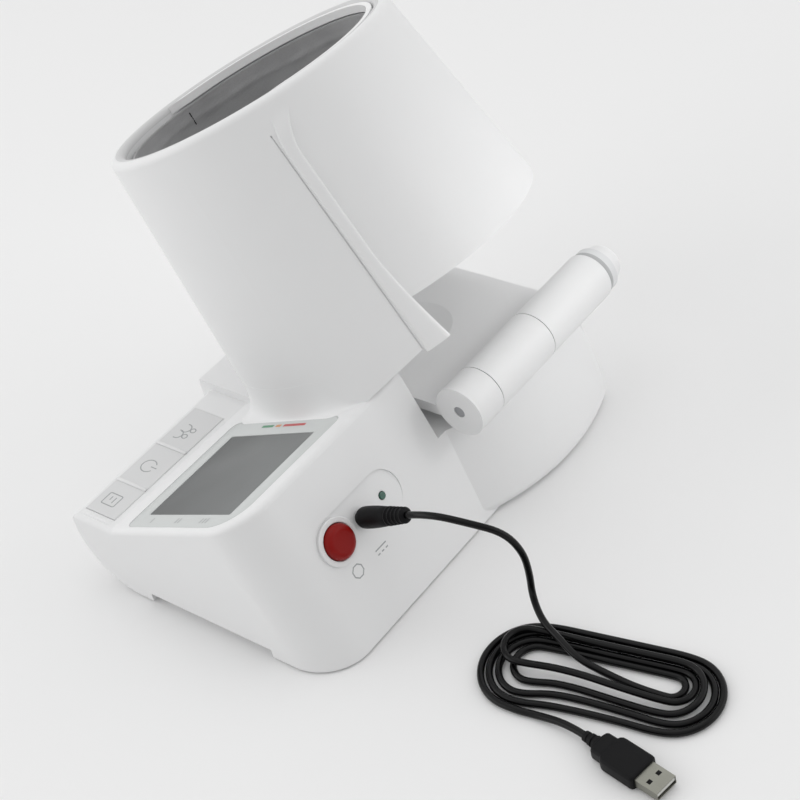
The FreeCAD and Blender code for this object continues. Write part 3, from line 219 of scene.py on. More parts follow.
class SharedGroups:
    """The node groups that several finishes use, each built once.

    Each gives a colour, a roughness and a height.
    """

    def __init__(self) -> None:
        """Builds the groups."""
        self.grain = self.moulded_grain()
        self.weave = self.knitted_weave()
        self.brush = self.brushed_lines()

    @staticmethod
    def start(name: str, inputs: dict) -> tuple:
        """Starts a group.

        Args:
            name: The group's name.
            inputs: The first value of each input by its name; a tuple makes a colour socket.

        Returns:
            A kit for its tree, and the sockets that carry its inputs.
        """
        kit = NodeKit(bpy.data.node_groups.new(name, "ShaderNodeTree"))
        sockets = kit.tree.interface
        for title, value in inputs.items():
            kind = "NodeSocketColor" if isinstance(value, tuple) else "NodeSocketFloat"
            kit.put(sockets.new_socket(title, in_out="INPUT", socket_type=kind), value)
        for title, kind in (("Colour", "Color"), ("Roughness", "Float"), ("Height", "Float")):
            sockets.new_socket(title, in_out="OUTPUT", socket_type=f"NodeSocket{kind}")
        return kit, kit.node("NodeGroupInput").outputs

    @staticmethod
    def end(kit: NodeKit, colour: Socket, roughness: Socket, height: Socket) -> Tree:
        """Links a group's results and gives its tree back."""
        kit.node("NodeGroupOutput", {"Colour": colour, "Roughness": roughness, "Height": height})
        return kit.tree

    def moulded_grain(self) -> Tree:
        """A spark-eroded moulding: fine grain, cloudy tone, a little handling gloss."""
        first = {"Colour": (0.8, 0.8, 0.8), "Grain": 2500.0, "Tone": 0.05, "Roughness": 0.4}
        kit, ins = self.start("moulded_grain", {**first, "Patchiness": 0.08})
        place = kit.place()
        cloud = kit.noise(place, 22.0, 3.0)
        smear = kit.noise(place, 75.0, 5.0)
        fine = kit.noise(place, ins["Grain"], 2.0)
        shade = kit.math("MULTIPLY", kit.math("MULTIPLY_ADD", fine, 0.5, cloud), ins["Tone"])
        colour = kit.mix(shade, ins["Colour"], (0.0, 0.0, 0.0))
        patch = kit.math("SUBTRACT", smear, 0.5)
        rough = kit.math("MULTIPLY_ADD", patch, ins["Patchiness"], ins["Roughness"])
        return self.end(kit, colour, rough, fine)

    def knitted_weave(self) -> Tree:
        """A plain weave on the piece's own UV map, in metres, with fuzz and darker blotches."""
        first = {"Thread": (0.2, 0.2, 0.2), "Gap": (0.05, 0.05, 0.05), "Threads per metre": 2300.0}
        kit, ins = self.start("knitted_weave", {**first, "Fuzz": 0.35})
        place = kit.node("ShaderNodeUVMap").outputs["UV"]
        axes = kit.node("ShaderNodeSeparateXYZ", {"Vector": place}).outputs
        turns = kit.math("MULTIPLY", ins["Threads per metre"], math.pi)
        waves = [kit.math("SINE", kit.math("MULTIPLY", axes[name], turns)) for name in "XY"]
        over = kit.math("MULTIPLY_ADD", kit.math("MULTIPLY", *waves), 0.5, 0.5)
        fuzz = kit.math("MULTIPLY", kit.noise(place, 1400.0, 4.0), ins["Fuzz"])
        woven = kit.mix(kit.math("MULTIPLY_ADD", over, 0.45, fuzz), ins["Gap"], ins["Thread"])
        # Noise darkens the cloth in large blotches towards the gap colour.
        blotch = kit.math("SUBTRACT", kit.noise(place, 38.0, 4.0), 0.3)
        mottled = kit.mix(kit.math("MULTIPLY", blotch, 1.3), woven, ins["Gap"])
        return self.end(kit, mottled, kit.math("ADD", 0.72, fuzz), kit.math("ADD", over, fuzz))

    def brushed_lines(self) -> Tree:
        """Plated sheet metal: fine drawn lines and cloudy polish."""
        kit, ins = self.start("brushed_lines", {"Colour": (0.6, 0.6, 0.6), "Roughness": 0.3, "Depth": 0.15})
        place = kit.place()
        stretched = kit.node("ShaderNodeMapping", {"Vector": place, "Scale": (9000.0, 260.0, 9000.0)})
        lines = kit.noise(stretched.outputs["Vector"], 1.0, 2.0)
        cloud = kit.noise(place, 160.0, 3.0)
        shade = kit.math("MULTIPLY", lines, ins["Depth"])
        colour = kit.mix(shade, ins["Colour"], (0.05, 0.05, 0.05))
        rough = kit.math("MULTIPLY_ADD", cloud, ins["Depth"], ins["Roughness"])
        return self.end(kit, colour, rough, lines)


def new_material(name: str) -> tuple:
    """A new material, a kit for its tree, and its Principled shader at its first values."""
    material = bpy.data.materials.new(name)
    material.use_nodes = True
    return material, NodeKit(material.node_tree), material.node_tree.nodes["Principled BSDF"]


def grouped_material(name: str, tree: Tree, values: dict, bump: float, own: dict) -> bpy.types.Material:
    """A material whose colour, roughness and bump come from one shared group.

    Args:
        name: The material's name.
        tree: The shared group.
        values: The group's input values by name.
        bump: The height of its relief, in metres.
        own: The values that its shader has of its own.

    Returns:
        The material.
    """
    material, kit, shader = new_material(name)
    group = kit.node("ShaderNodeGroup")
    group.node_tree = tree
    results = kit.fill(group, values).outputs
    relief = kit.node("ShaderNodeBump", {"Strength": 1.0, "Distance": bump, "Height": results["Height"]})
    kit.fill(shader, {"Base Color": results["Colour"], "Roughness": results["Roughness"]})
    kit.fill(shader, {"Normal": relief.outputs["Normal"], **own})
    return material


@dataclass(frozen=True)
class Moulding:
    """A moulded plastic or rubber."""

    name: str
    colour: Colour
    roughness: float
    grain: float = 2500.0
    relief: float = 0.000012
    tone: float = 0.05
    coat: float = 0.0
    soft_light: float = 0.0
    shine: float = 0.5

    def material(self, groups: SharedGroups) -> bpy.types.Material:
        """The finish as a material."""
        values = {"Colour": self.colour, "Grain": self.grain, "Tone": self.tone, "Roughness": self.roughness}
        own = {
            "Specular IOR Level": self.shine,
            "Coat Weight": self.coat,
            "Coat Roughness": 0.08,
            "Subsurface Weight": self.soft_light,
            "Subsurface Radius": (0.004, 0.0035, 0.003),
            "Subsurface Scale": 0.5,
        }
        return grouped_material(self.name, groups.grain, values, self.relief, own)


@dataclass(frozen=True)
class SheetMetal:
    """Plated or plain sheet metal."""

    name: str
    colour: Colour
    roughness: float
    depth: float = 0.2
    relief: float = 0.000004

    def material(self, groups: SharedGroups) -> bpy.types.Material:
        """The finish as a material."""
        values = {"Colour": self.colour, "Roughness": self.roughness, "Depth": self.depth}
        return grouped_material(self.name, groups.brush, values, self.relief, {"Metallic": 1.0})


@dataclass(frozen=True)
class Cloth:
    """A woven lining."""

    name: str
    thread: Colour
    gap: Colour
    threads: float = 2300.0
    fuzz: float = 0.5
    relief: float = 0.00025

    def material(self, groups: SharedGroups) -> bpy.types.Material:
        """The finish as a material."""
        values = {
            "Thread": self.thread,
            "Gap": self.gap,
            "Threads per metre": self.threads,
            "Fuzz": self.fuzz,
        }
        own = {"Sheen Weight": 0.25, "Sheen Roughness": 0.5}
        return grouped_material(self.name, groups.weave, values, self.relief, own)


@dataclass(frozen=True)
class Screen:
    """An unlit liquid-crystal screen under clear glass, with a painted light gradient: darker towards the
    user.
    """

    name: str
    near: Colour
    far: Colour

    def material(self, groups: SharedGroups) -> bpy.types.Material:
        """The finish as a material; it needs none of the shared groups."""
        material, kit, shader = new_material(self.name)
        onto_panel = Frames.PANEL.inverted()
        values = {"Rotation": onto_panel.to_euler(), "Location": onto_panel.translation * MM}
        place = kit.node("ShaderNodeMapping", {"Vector": kit.place(), **values}).outputs["Vector"]
        across = kit.node("ShaderNodeSeparateXYZ", {"Vector": place}).outputs["Y"]
        # Painted light: the ramp from the near to the far colour stands in for light reflected across the
        # glass.
        lit = kit.mix(kit.math("MULTIPLY_ADD", across, 14.5, -0.3), self.near, self.far)
        values = {"Scale": 1000.0, "Mortar Size": 0.04, "Brick Width": 0.7, "Row Height": 0.7}
        cells = kit.node("ShaderNodeTexBrick", {"Vector": place, **values})
        cells.offset = 0.0
        haze = kit.noise(place, 45.0, 3.0)
        tint = kit.math("MULTIPLY_ADD", haze, 0.1, kit.math("MULTIPLY", cells.outputs["Fac"], 0.12))
        kit.fill(shader, {
            "Base Color": kit.mix(tint, lit, (0.03, 0.03, 0.03)),
            "Roughness": kit.math("MULTIPLY_ADD", haze, 0.1, 0.36),
            "Specular IOR Level": 0.3,
            "Coat Weight": 0.1,
            "Coat Roughness": 0.3,
        })
        return material


class Wardrobe:
    """All the finishes, made once and handed to pieces by slot or ink."""

    RECIPES = {
        Slot.WHITE_SHELL: Moulding("satin_white_moulding", (0.81, 0.812, 0.814), 0.44, tone=0.03),
        Slot.WHITE_GLOSS: Moulding(
            "smooth_white_moulding", (0.8, 0.802, 0.804), 0.34, 1400.0, 0.000006, 0.03
        ),
        Slot.PANEL_BORDER: Moulding(
            "pale_grey_window_border", linear(203, 206, 205), 0.24, 900.0, 0.000003, 0.04
        ),
        Slot.LCD_GLASS: Screen("unlit_screen", linear(95, 97, 97), linear(130, 132, 132)),
        Slot.GREY_FABRIC: Cloth("dark_grey_lining", linear(196, 196, 197), linear(138, 138, 139)),
        Slot.RED_CAP: Moulding("dark_red_cap", linear(140, 14, 10), 0.4, 1600.0, 0.00001, 0.12, shine=0.2),
        Slot.BLACK_PLASTIC: Moulding(
            "matt_black_moulding", linear(13, 13, 15), 0.5, 1900.0, 0.00002, 0.15, shine=0.16
        ),
        Slot.BLACK_RUBBER: Moulding(
            "black_cord_jacket", linear(6, 6, 7), 0.2, 1300.0, 0.000004, 0.1, shine=0.22
        ),
        Slot.FOOT_RUBBER: Moulding("foot_rubber", linear(58, 58, 60), 0.75, 1500.0, 0.00003, 0.15),
        Slot.GREEN_LENS: Moulding(
            "dark_green_lens", linear(46, 92, 78), 0.12, 600.0, 0.000002, 0.1, coat=0.6
        ),
        Slot.PLUG_METAL: SheetMetal("plated_steel", linear(150, 150, 141), 0.32),
        Slot.STEEL: SheetMetal("plain_steel", linear(176, 177, 180), 0.34),
        Slot.TONGUE_WHITE: Moulding("contact_carrier", linear(205, 205, 200), 0.5),
        Slot.DARK_WASHER: Moulding("pale_washer", linear(222, 223, 224), 0.5),
        Slot.SILICONE: Moulding("grey_silicone", linear(180, 181, 183), 0.6, soft_light=0.2),
        Slot.BLADDER: Moulding("thin_rubber", linear(80, 80, 82), 0.65),
        Slot.BOARD_GREEN: Moulding("circuit_board", linear(34, 96, 58), 0.4, 800.0, 0.00003, 0.2),
        Slot.CELL_WRAP: Moulding("cell_wrap", linear(84, 86, 92), 0.3, 700.0, 0.000004, 0.1, coat=0.3),
        Ink.GREY: Moulding("grey_print", linear(168, 170, 171), 0.5, 2600.0, 0.000004, 0.15),
        Ink.GREEN: Moulding("green_print", linear(96, 150, 118), 0.5, 2600.0, 0.000004, 0.1),
        Ink.ORANGE: Moulding("orange_print", linear(214, 150, 104), 0.5, 2600.0, 0.000004, 0.1),
        Ink.RED: Moulding("red_print", linear(196, 92, 92), 0.5, 2600.0, 0.000004, 0.1),
        Ink.KEY_FILM: Moulding("pale_key_film", (0.7, 0.702, 0.704), 0.36, 1400.0, 0.000006, 0.04),
        # Painted shade: the hinge bar's white neck, greyed as it looks in shadow.
        Ink.NECK: Moulding("neck_band_painted_shade", linear(176, 177, 178), 0.55),
        # Painted light: a brighter copy of the white shell for the lip's shaded inner face.
        Ink.LIP: Moulding("lip_painted_light", (0.88, 0.88, 0.88), 0.5),
        # Painted shade: the white rim's inner rounding, greyed as it looks in shadow.
        Ink.RIM_SHADE: Moulding("painted_rim_shade", (0.63, 0.63, 0.632), 0.5),
    }

    OWN_FINISH = {
        "key_left": Ink.KEY_FILM,
        "key_middle": Ink.KEY_FILM,
        "key_right": Ink.KEY_FILM,
        # The lip's brighter white is painted light on its shaded inner face.
        "rim_lip": Ink.LIP,
    }

    def __init__(self) -> None:
        """Makes every material."""
        groups = SharedGroups()
        self.materials = {key: recipe.material(groups) for key, recipe in self.RECIPES.items()}

    def dress_frame(self, frame: dict) -> None:
        """Gives every CAD node its own finish, or else that of its slot.
        """
        slots = {part["node"]: Slot(part["material_slot"]) for part in frame["record"]["subparts"]}
        for name, node in frame["nodes"].items():
            if not node.material_slots:
                node.data.materials.append(None)
            finish = self.OWN_FINISH.get(name, slots[name])
            for held in node.material_slots:
                held.material = self.materials[finish]

    def piece(
        self,
        name: str,
        mesh: Mesh,
        slot: Slot,
        body: str = "base",
        replaces: Sequence[str] = (),
        ink: Ink | None = None,
    ) -> Thing:
        """Turns a finished mesh into a dressed piece that rides on a body.

        Args:
            name: The piece's name.
            mesh: Its mesh, in metres and in place.
            slot: The record's slot that it belongs to.
            body: The body that carries it.
            replaces: The CAD nodes that it stands for.
            ink: Its finish, where that isn't its slot's.

        Returns:
            The new object.
        """
        mesh.name = name
        mesh.materials.clear()
        mesh.materials.append(self.materials[ink or slot])
        thing = bpy.data.objects.new(name, mesh)
        bpy.context.scene.collection.objects.link(thing)
        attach(thing, body)
        if replaces:
            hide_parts(*replaces)
        LOG.info("piece %s on %s, %d faces", name, body, len(mesh.polygons))
        return thing

    def skin(
        self,
        name: str,
        loops: Sequence[Sequence[Vector]],
        slot: Slot,
        caps: bool = True,
        sharp: float = 35.0,
        **more,
    ) -> Thing:
        """Makes a piece from loops in mm.

        Args:
            name: The piece's name.
            loops: Loops of equal length, in order.
            slot: The record's slot that it belongs to.
            caps: Whether the first and the last loop are closed by a face.
            sharp: The angle, in degrees, past which an edge stays sharp.
            **more: What else piece is told.

        Returns:
            The new object.
        """
        return self.piece(name, MeshKit.finish(MeshKit.loops(name, loops, caps), sharp), slot, **more)

    def row(
        self,
        name: str,
        shape: Callable[[NodeKit], Socket],
        frame: Matrix,
        slot: Slot,
        count: int,
        start: Point,
        step: Point,
        ends: Flat = (1.0, 1.0),
    ) -> Thing:
        """Makes a piece from one small shape, repeated along a row.

        Args:
            name: The piece's name.
            shape: Adds the shape's nodes through a kit.
            frame: The frame that the row lies in, in mm.
            slot: The record's slot that it belongs to.
            count: How many there are.
            start: The first one's place, in mm.
            step: The way from each to the next, in mm.
            ends: The sizes of the first and the last.

        Returns:
            The new object.
        """
        values = {
            "Count": count,
            "Start": start,
            "Step": step,
            "First Size": ends[0],
            "Last Size": ends[1],
            "Finish": self.materials[slot],
        }
        return self.piece(name, RowTree(name, shape).mesh(name, frame, values), slot)


class MeshKit:
    """Mesh builders shared by the sub-assemblies; places are given in mm."""

    @staticmethod
    def finish(mesh: Mesh, sharp: float = 35.0) -> Mesh:
        """Merges doubles, turns faces outwards and shades smooth below an angle in degrees."""
        work = bmesh.new()
        work.from_mesh(mesh)
        bmesh.ops.remove_doubles(work, verts=work.verts, dist=1e-7)
        bmesh.ops.recalc_face_normals(work, faces=work.faces)
        work.to_mesh(mesh)
        work.free()
        mesh.shade_smooth()
        mesh.set_sharp_from_angle(angle=math.radians(sharp))
        return mesh

    @staticmethod
    def loops(name: str, loops: Sequence[Sequence[Vector]], caps: bool = True) -> Mesh:
        """Skins closed loops of equal length in order.

        Args:
            name: The mesh's name.
            loops: The loops, in mm.
            caps: Whether the first and the last loop are closed by a face.

        Returns:
            The mesh, in metres.
        """
        count = len(loops[0])
        last = count * (len(loops) - 1)
        faces = []
        for low in range(0, last, count):
            for i in range(count):
                j = (i + 1) % count
                faces.append((low + i, low + j, low + count + j, low + count + i))
        if caps:
            faces.append(tuple(reversed(range(count))))
            faces.append(tuple(range(last, last + count)))
        mesh = bpy.data.meshes.new(name)
        mesh.from_pydata([p * MM for loop in loops for p in loop], [], faces)
        return mesh

    @staticmethod
    def turned(profile: Sequence[Flat], frame: Matrix, steps: int) -> list[list[Vector]]:
        """The loops of a solid of revolution about a frame's Z axis.

        Args:
            profile: (place along the axis, radius) pairs in order, in mm.
            frame: The frame, in mm.
            steps: The points round the axis.

        Returns:
            A loop for each pair, in mm.
        """
        angles = [2 * math.pi * i / steps for i in range(steps)]
        return [
            [frame @ Vector((radius * math.cos(a), radius * math.sin(a), along)) for a in angles]
            for along, radius in profile
        ]

    @staticmethod
    def arc(middle: Flat, radius: float, start: float, stop: float, steps: int = 18) -> list[Flat]:
        """Points on an arc between two angles in degrees."""
        angles = [math.radians(between(start, stop, i / steps)) for i in range(steps + 1)]
        return [(middle[0] + radius * math.cos(a), middle[1] + radius * math.sin(a)) for a in angles]

    @staticmethod
    def round_rectangle(low: Flat, high: Flat, radii: Sequence[float], steps: int = 9) -> list[Flat]:
        """The outline of a rectangle with its own radius at each corner.

        Args:
            low: The lower left corner.
            high: The upper right corner.
            radii: The radii at lower right, upper right, upper left and lower left.
            steps: The points of each corner.

        Returns:
            The points, anticlockwise from the lower right corner.
        """
        corners = [
            (high[0], low[1], -1, 1, -90.0),
            (high[0], high[1], -1, -1, 0.0),
            (low[0], high[1], 1, -1, 90.0),
            (low[0], low[1], 1, 1, 180.0),
        ]
        points = []
        for (x, y, right, up, start), radius in zip(corners, radii):
            middle = (x + right * radius, y + up * radius)
            points += MeshKit.arc(middle, radius, start, start + 90.0, steps - 1)
        return points

    @staticmethod
    def strokes(
        name: str, lines: Sequence[Sequence[Flat]], width: float, frame: Matrix, height: float = 0.05
    ) -> Mesh:
        """Flat printed lines on a plane, with rounded sides.

        Args:
            name: The mesh's name.
            lines: Lines of points on the plane, in mm.
            width: The width of every line, in mm.
            frame: The plane's frame, in mm.
            height: How far the print stands on the plane, in mm.

        Returns:
            The mesh, in metres.
        """
        curve = bpy.data.curves.new(name, "CURVE")
        curve.dimensions = "3D"
        for line in lines:
            spline = curve.splines.new("POLY")
            spline.points.add(len(line) - 1)
            for knot, (x, y) in zip(spline.points, line):
                knot.co = (x, y, 0.0, 1.0)
        curve.bevel_depth = width / 2
        curve.bevel_resolution = 2
        curve.use_fill_caps = True
        holder = bpy.data.objects.new(name, curve)
        bpy.context.scene.collection.objects.link(holder)
        bpy.context.view_layer.update()
        mesh = bpy.data.meshes.new_from_object(holder)
        bpy.data.objects.remove(holder)
        bpy.data.curves.remove(curve)
        flatten = Matrix.Diagonal((1.0, 1.0, 2.0 * height / width, 1.0))
        mesh.transform(Matrix.Scale(MM, 4) @ frame @ flatten)
        return MeshKit.finish(mesh)


class RowTree:
    """A Geometry Nodes tree that sets a shape along a straight row, growing or shrinking."""

    def __init__(self, name: str, shape: Callable[[NodeKit], Socket]) -> None:
        """Builds the tree.

        Args:
            name: The tree's name.
            shape: Adds the repeated shape's nodes through a kit and gives their mesh socket.
        """
        self.tree = bpy.data.node_groups.new(name, "GeometryNodeTree")
        sockets = self.tree.interface
        sockets.new_socket("Geometry", in_out="OUTPUT", socket_type="NodeSocketGeometry")
        for title, kind in (
            ("Geometry", "Geometry"), ("Count", "Int"), ("Start", "Vector"), ("Step", "Vector"),
            ("First Size", "Float"), ("Last Size", "Float"), ("Finish", "Material"),
        ):
            sockets.new_socket(title, in_out="INPUT", socket_type=f"NodeSocket{kind}")
        kit = NodeKit(self.tree)
        ins = kit.node("NodeGroupInput").outputs
        places = {"Count": ins["Count"], "Start Location": ins["Start"], "Offset": ins["Step"]}
        line = kit.node("GeometryNodeMeshLine", places)
        line.mode = "OFFSET"
        grow = kit.node("ShaderNodeMapRange", {
            "Value": kit.node("GeometryNodeInputIndex").outputs["Index"],
            "From Max": kit.math("SUBTRACT", ins["Count"], 1.0),
            "To Min": ins["First Size"],
            "To Max": ins["Last Size"],
        })
        spread = kit.node("GeometryNodeInstanceOnPoints", {
            "Points": line.outputs["Mesh"],
            "Instance": shape(kit),
            "Scale": grow.outputs["Result"],
        })
        made = spread.outputs["Instances"]
        for kind in ("GeometryNodeRealizeInstances", "GeometryNodeSetShadeSmooth"):
            made = kit.node(kind, {"Geometry": made}).outputs["Geometry"]
        dressed = kit.node("GeometryNodeSetMaterial", {"Geometry": made, "Material": ins["Finish"]})
        kit.node("NodeGroupOutput", {"Geometry": dressed.outputs["Geometry"]})

    def mesh(self, name: str, frame: Matrix, values: dict) -> Mesh:
        """Runs the tree once and gives its plain mesh.

        Args:
            name: The mesh's name.
            frame: The frame that the row lies in, in mm.
            values: The tree's inputs by name, in mm.

        Returns:
            The mesh, in metres and in place.
        """
        holder = bpy.data.objects.new(name, bpy.data.meshes.new(name))
        bpy.context.scene.collection.objects.link(holder)
        run = holder.modifiers.new(name, "NODES")
        run.node_group = self.tree
        for item in self.tree.interface.items_tree:
            if item.item_type == "SOCKET" and item.in_out == "INPUT" and item.name in values:
                run[item.identifier] = values[item.name]
        graph = bpy.context.evaluated_depsgraph_get()
        mesh = bpy.data.meshes.new_from_object(holder.evaluated_get(graph))
        holder.modifiers.remove(run)
        bpy.data.objects.remove(holder)
        mesh.transform(Matrix.Scale(MM, 4) @ frame)
        return mesh

    @staticmethod
    def rib(kit: NodeKit) -> Socket:
        """A thin ring about the row's Z axis, one unit in radius."""
        path, section = (
            kit.node("GeometryNodeCurvePrimitiveCircle", {"Resolution": points, "Radius": radius})
            for points, radius in ((40, 1.0), (10, 0.16))
        )
        curves = {"Curve": path.outputs["Curve"], "Profile Curve": section.outputs["Curve"]}
        return kit.node("GeometryNodeCurveToMesh", curves).outputs["Mesh"]

    @staticmethod
    def stitch(kit: NodeKit) -> Socket:
        """A pulled thread: a small ball stretched along the row's Z axis."""
        ball = kit.node("GeometryNodeMeshUVSphere", {"Segments": 8, "Rings": 5, "Radius": 1.0})
        stretch = {"Geometry": ball.outputs["Mesh"], "Scale": (0.4, 0.3, 0.85)}
        return kit.node("GeometryNodeTransform", stretch).outputs["Geometry"]

    @staticmethod
    def window(kit: NodeKit) -> Socket:
        """A thin flat plate."""
        return kit.node("GeometryNodeMeshCube", {"Size": (2.2, 2.0, 0.04)}).outputs["Mesh"]


@dataclass(frozen=True)
class Softbox:
    """A square soft lamp: place and aim in metres, side, power in watts and beam in degrees."""

    name: str
    place: Point
    aim: Point
    side: float
    power: float
    beam: float = 180.0

    def hang(self) -> None:
        """Hangs the lamp."""
        lamp = bpy.data.lights.new(self.name, "AREA")
        lamp.size = self.side
        lamp.energy = self.power
        lamp.spread = math.radians(self.beam)
        holder = bpy.data.objects.new(self.name, lamp)
        holder.location = self.place
        facing = Vector(self.aim) - Vector(self.place)
        holder.rotation_euler = facing.to_track_quat("-Z", "Y").to_euler()
        bpy.context.scene.collection.objects.link(holder)


@dataclass
class Studio:
    """The pale floor, the soft lights and the camera."""

    floor_half: float = 6.0
    camera_place: Point = (0.4449, 0.51165, 0.5930)
    camera_right: Point = (-0.5942, 0.7802, -0.1953)
    camera_up: Point = (-0.5983, -0.2666, 0.7556)
    camera_back: Point = (0.5375, 0.5658, 0.6252)
    lens: float = 78.6
    sensor: float = 36.0
    ambient: float = 0.865
    dark_side: Point = (0.68, 0.68, 0.28)
    dark_start: float = 0.45
    dark_tone: float = 0.42
    lamps: tuple[Softbox, ...] = (
        Softbox("left_light", (0.6, -1.45, 0.75), (0.0, 0.0, 0.05), 1.2, 2.4),
        Softbox("left_fill", (1.25, -0.95, 0.6), (0.0, 0.0, 0.08), 1.2, 3.6),
        Softbox("right_light", (-1.35, 0.55, 0.55), (-0.08, 0.04, 0.05), 1.0, 0.8),
        Softbox("right_fill", (-0.75, 1.25, 0.6), (-0.05, 0.05, 0.06), 1.0, 1.9),
        Softbox("top_light", (-0.3, -0.3, 1.7), (0.0, 0.0, 0.0), 1.3, 2.6),
        Softbox("front_fill", (0.9, 0.9, 1.1), (0.0, 0.0, 0.08), 1.0, 0.8),
        Softbox("rest_light", (-0.2, 0.34, 0.3), (-0.075, 0.015, 0.06), 0.12, 0.0145, 34.0),
    )

    def build(self) -> None:
        """Sets up surrounding light, floor, lamps and camera."""
        scene = bpy.context.scene
        scene.view_settings.view_transform = "Standard"
        self.surround(scene)
        self.floor(scene)
        for lamp in self.lamps:
            lamp.hang()
        self.camera(scene)
        LOG.info("studio set up")

    def surround(self, scene: bpy.types.Scene) -> None:
        """Gives the scene a pale surround that is darker behind the camera."""
        world = bpy.data.worlds.new("studio_surround")
        world.use_nodes = True
        kit = NodeKit(world.node_tree)
        dot = kit.node("ShaderNodeVectorMath")
        dot.operation = "DOT_PRODUCT"
        for entry, value in zip(dot.inputs, (kit.place("Generated"), self.dark_side)):
            kit.put(entry, value)
        values = {"Value": dot.outputs["Value"], "From Min": self.dark_start}
        shade = kit.node("ShaderNodeMapRange", values)
        shade.interpolation_type = "SMOOTHSTEP"
        tint = kit.mix(shade.outputs["Result"], (1.0, 1.0, 1.0), (self.dark_tone,) * 3)
        kit.fill(world.node_tree.nodes["Background"], {"Color": tint, "Strength": self.ambient})
        scene.world = world

    def floor(self, scene: bpy.types.Scene) -> None:
        """Lays the floor."""
        half = self.floor_half
        mesh = bpy.data.meshes.new("studio_floor")
        corners = [(-half, -half, 0), (half, -half, 0), (half, half, 0), (-half, half, 0)]
        mesh.from_pydata(corners, [], [(0, 1, 2, 3)])
        floor = bpy.data.objects.new("studio_floor", mesh)
        scene.collection.objects.link(floor)
        material, kit, shader = new_material("studio_paper")
        kit.fill(shader, {"Base Color": (0.86, 0.86, 0.86), "Roughness": 0.9, "Specular IOR Level": 0.1})
        mesh.materials.append(material)

    def camera(self, scene: bpy.types.Scene) -> None:
        """Stands the camera where the photograph was taken."""
        data = bpy.data.cameras.new("photo_camera")
        data.lens = self.lens
        data.sensor_width = self.sensor
        data.sensor_fit = "HORIZONTAL"
        data.clip_end = 50.0
        holder = bpy.data.objects.new("photo_camera", data)
        axes = Matrix((self.camera_right, self.camera_up, self.camera_back)).transposed()
        turn = axes.to_quaternion().to_matrix().to_4x4()
        holder.matrix_world = Matrix.Translation(self.camera_place) @ turn
        scene.collection.objects.link(holder)
        scene.camera = holder


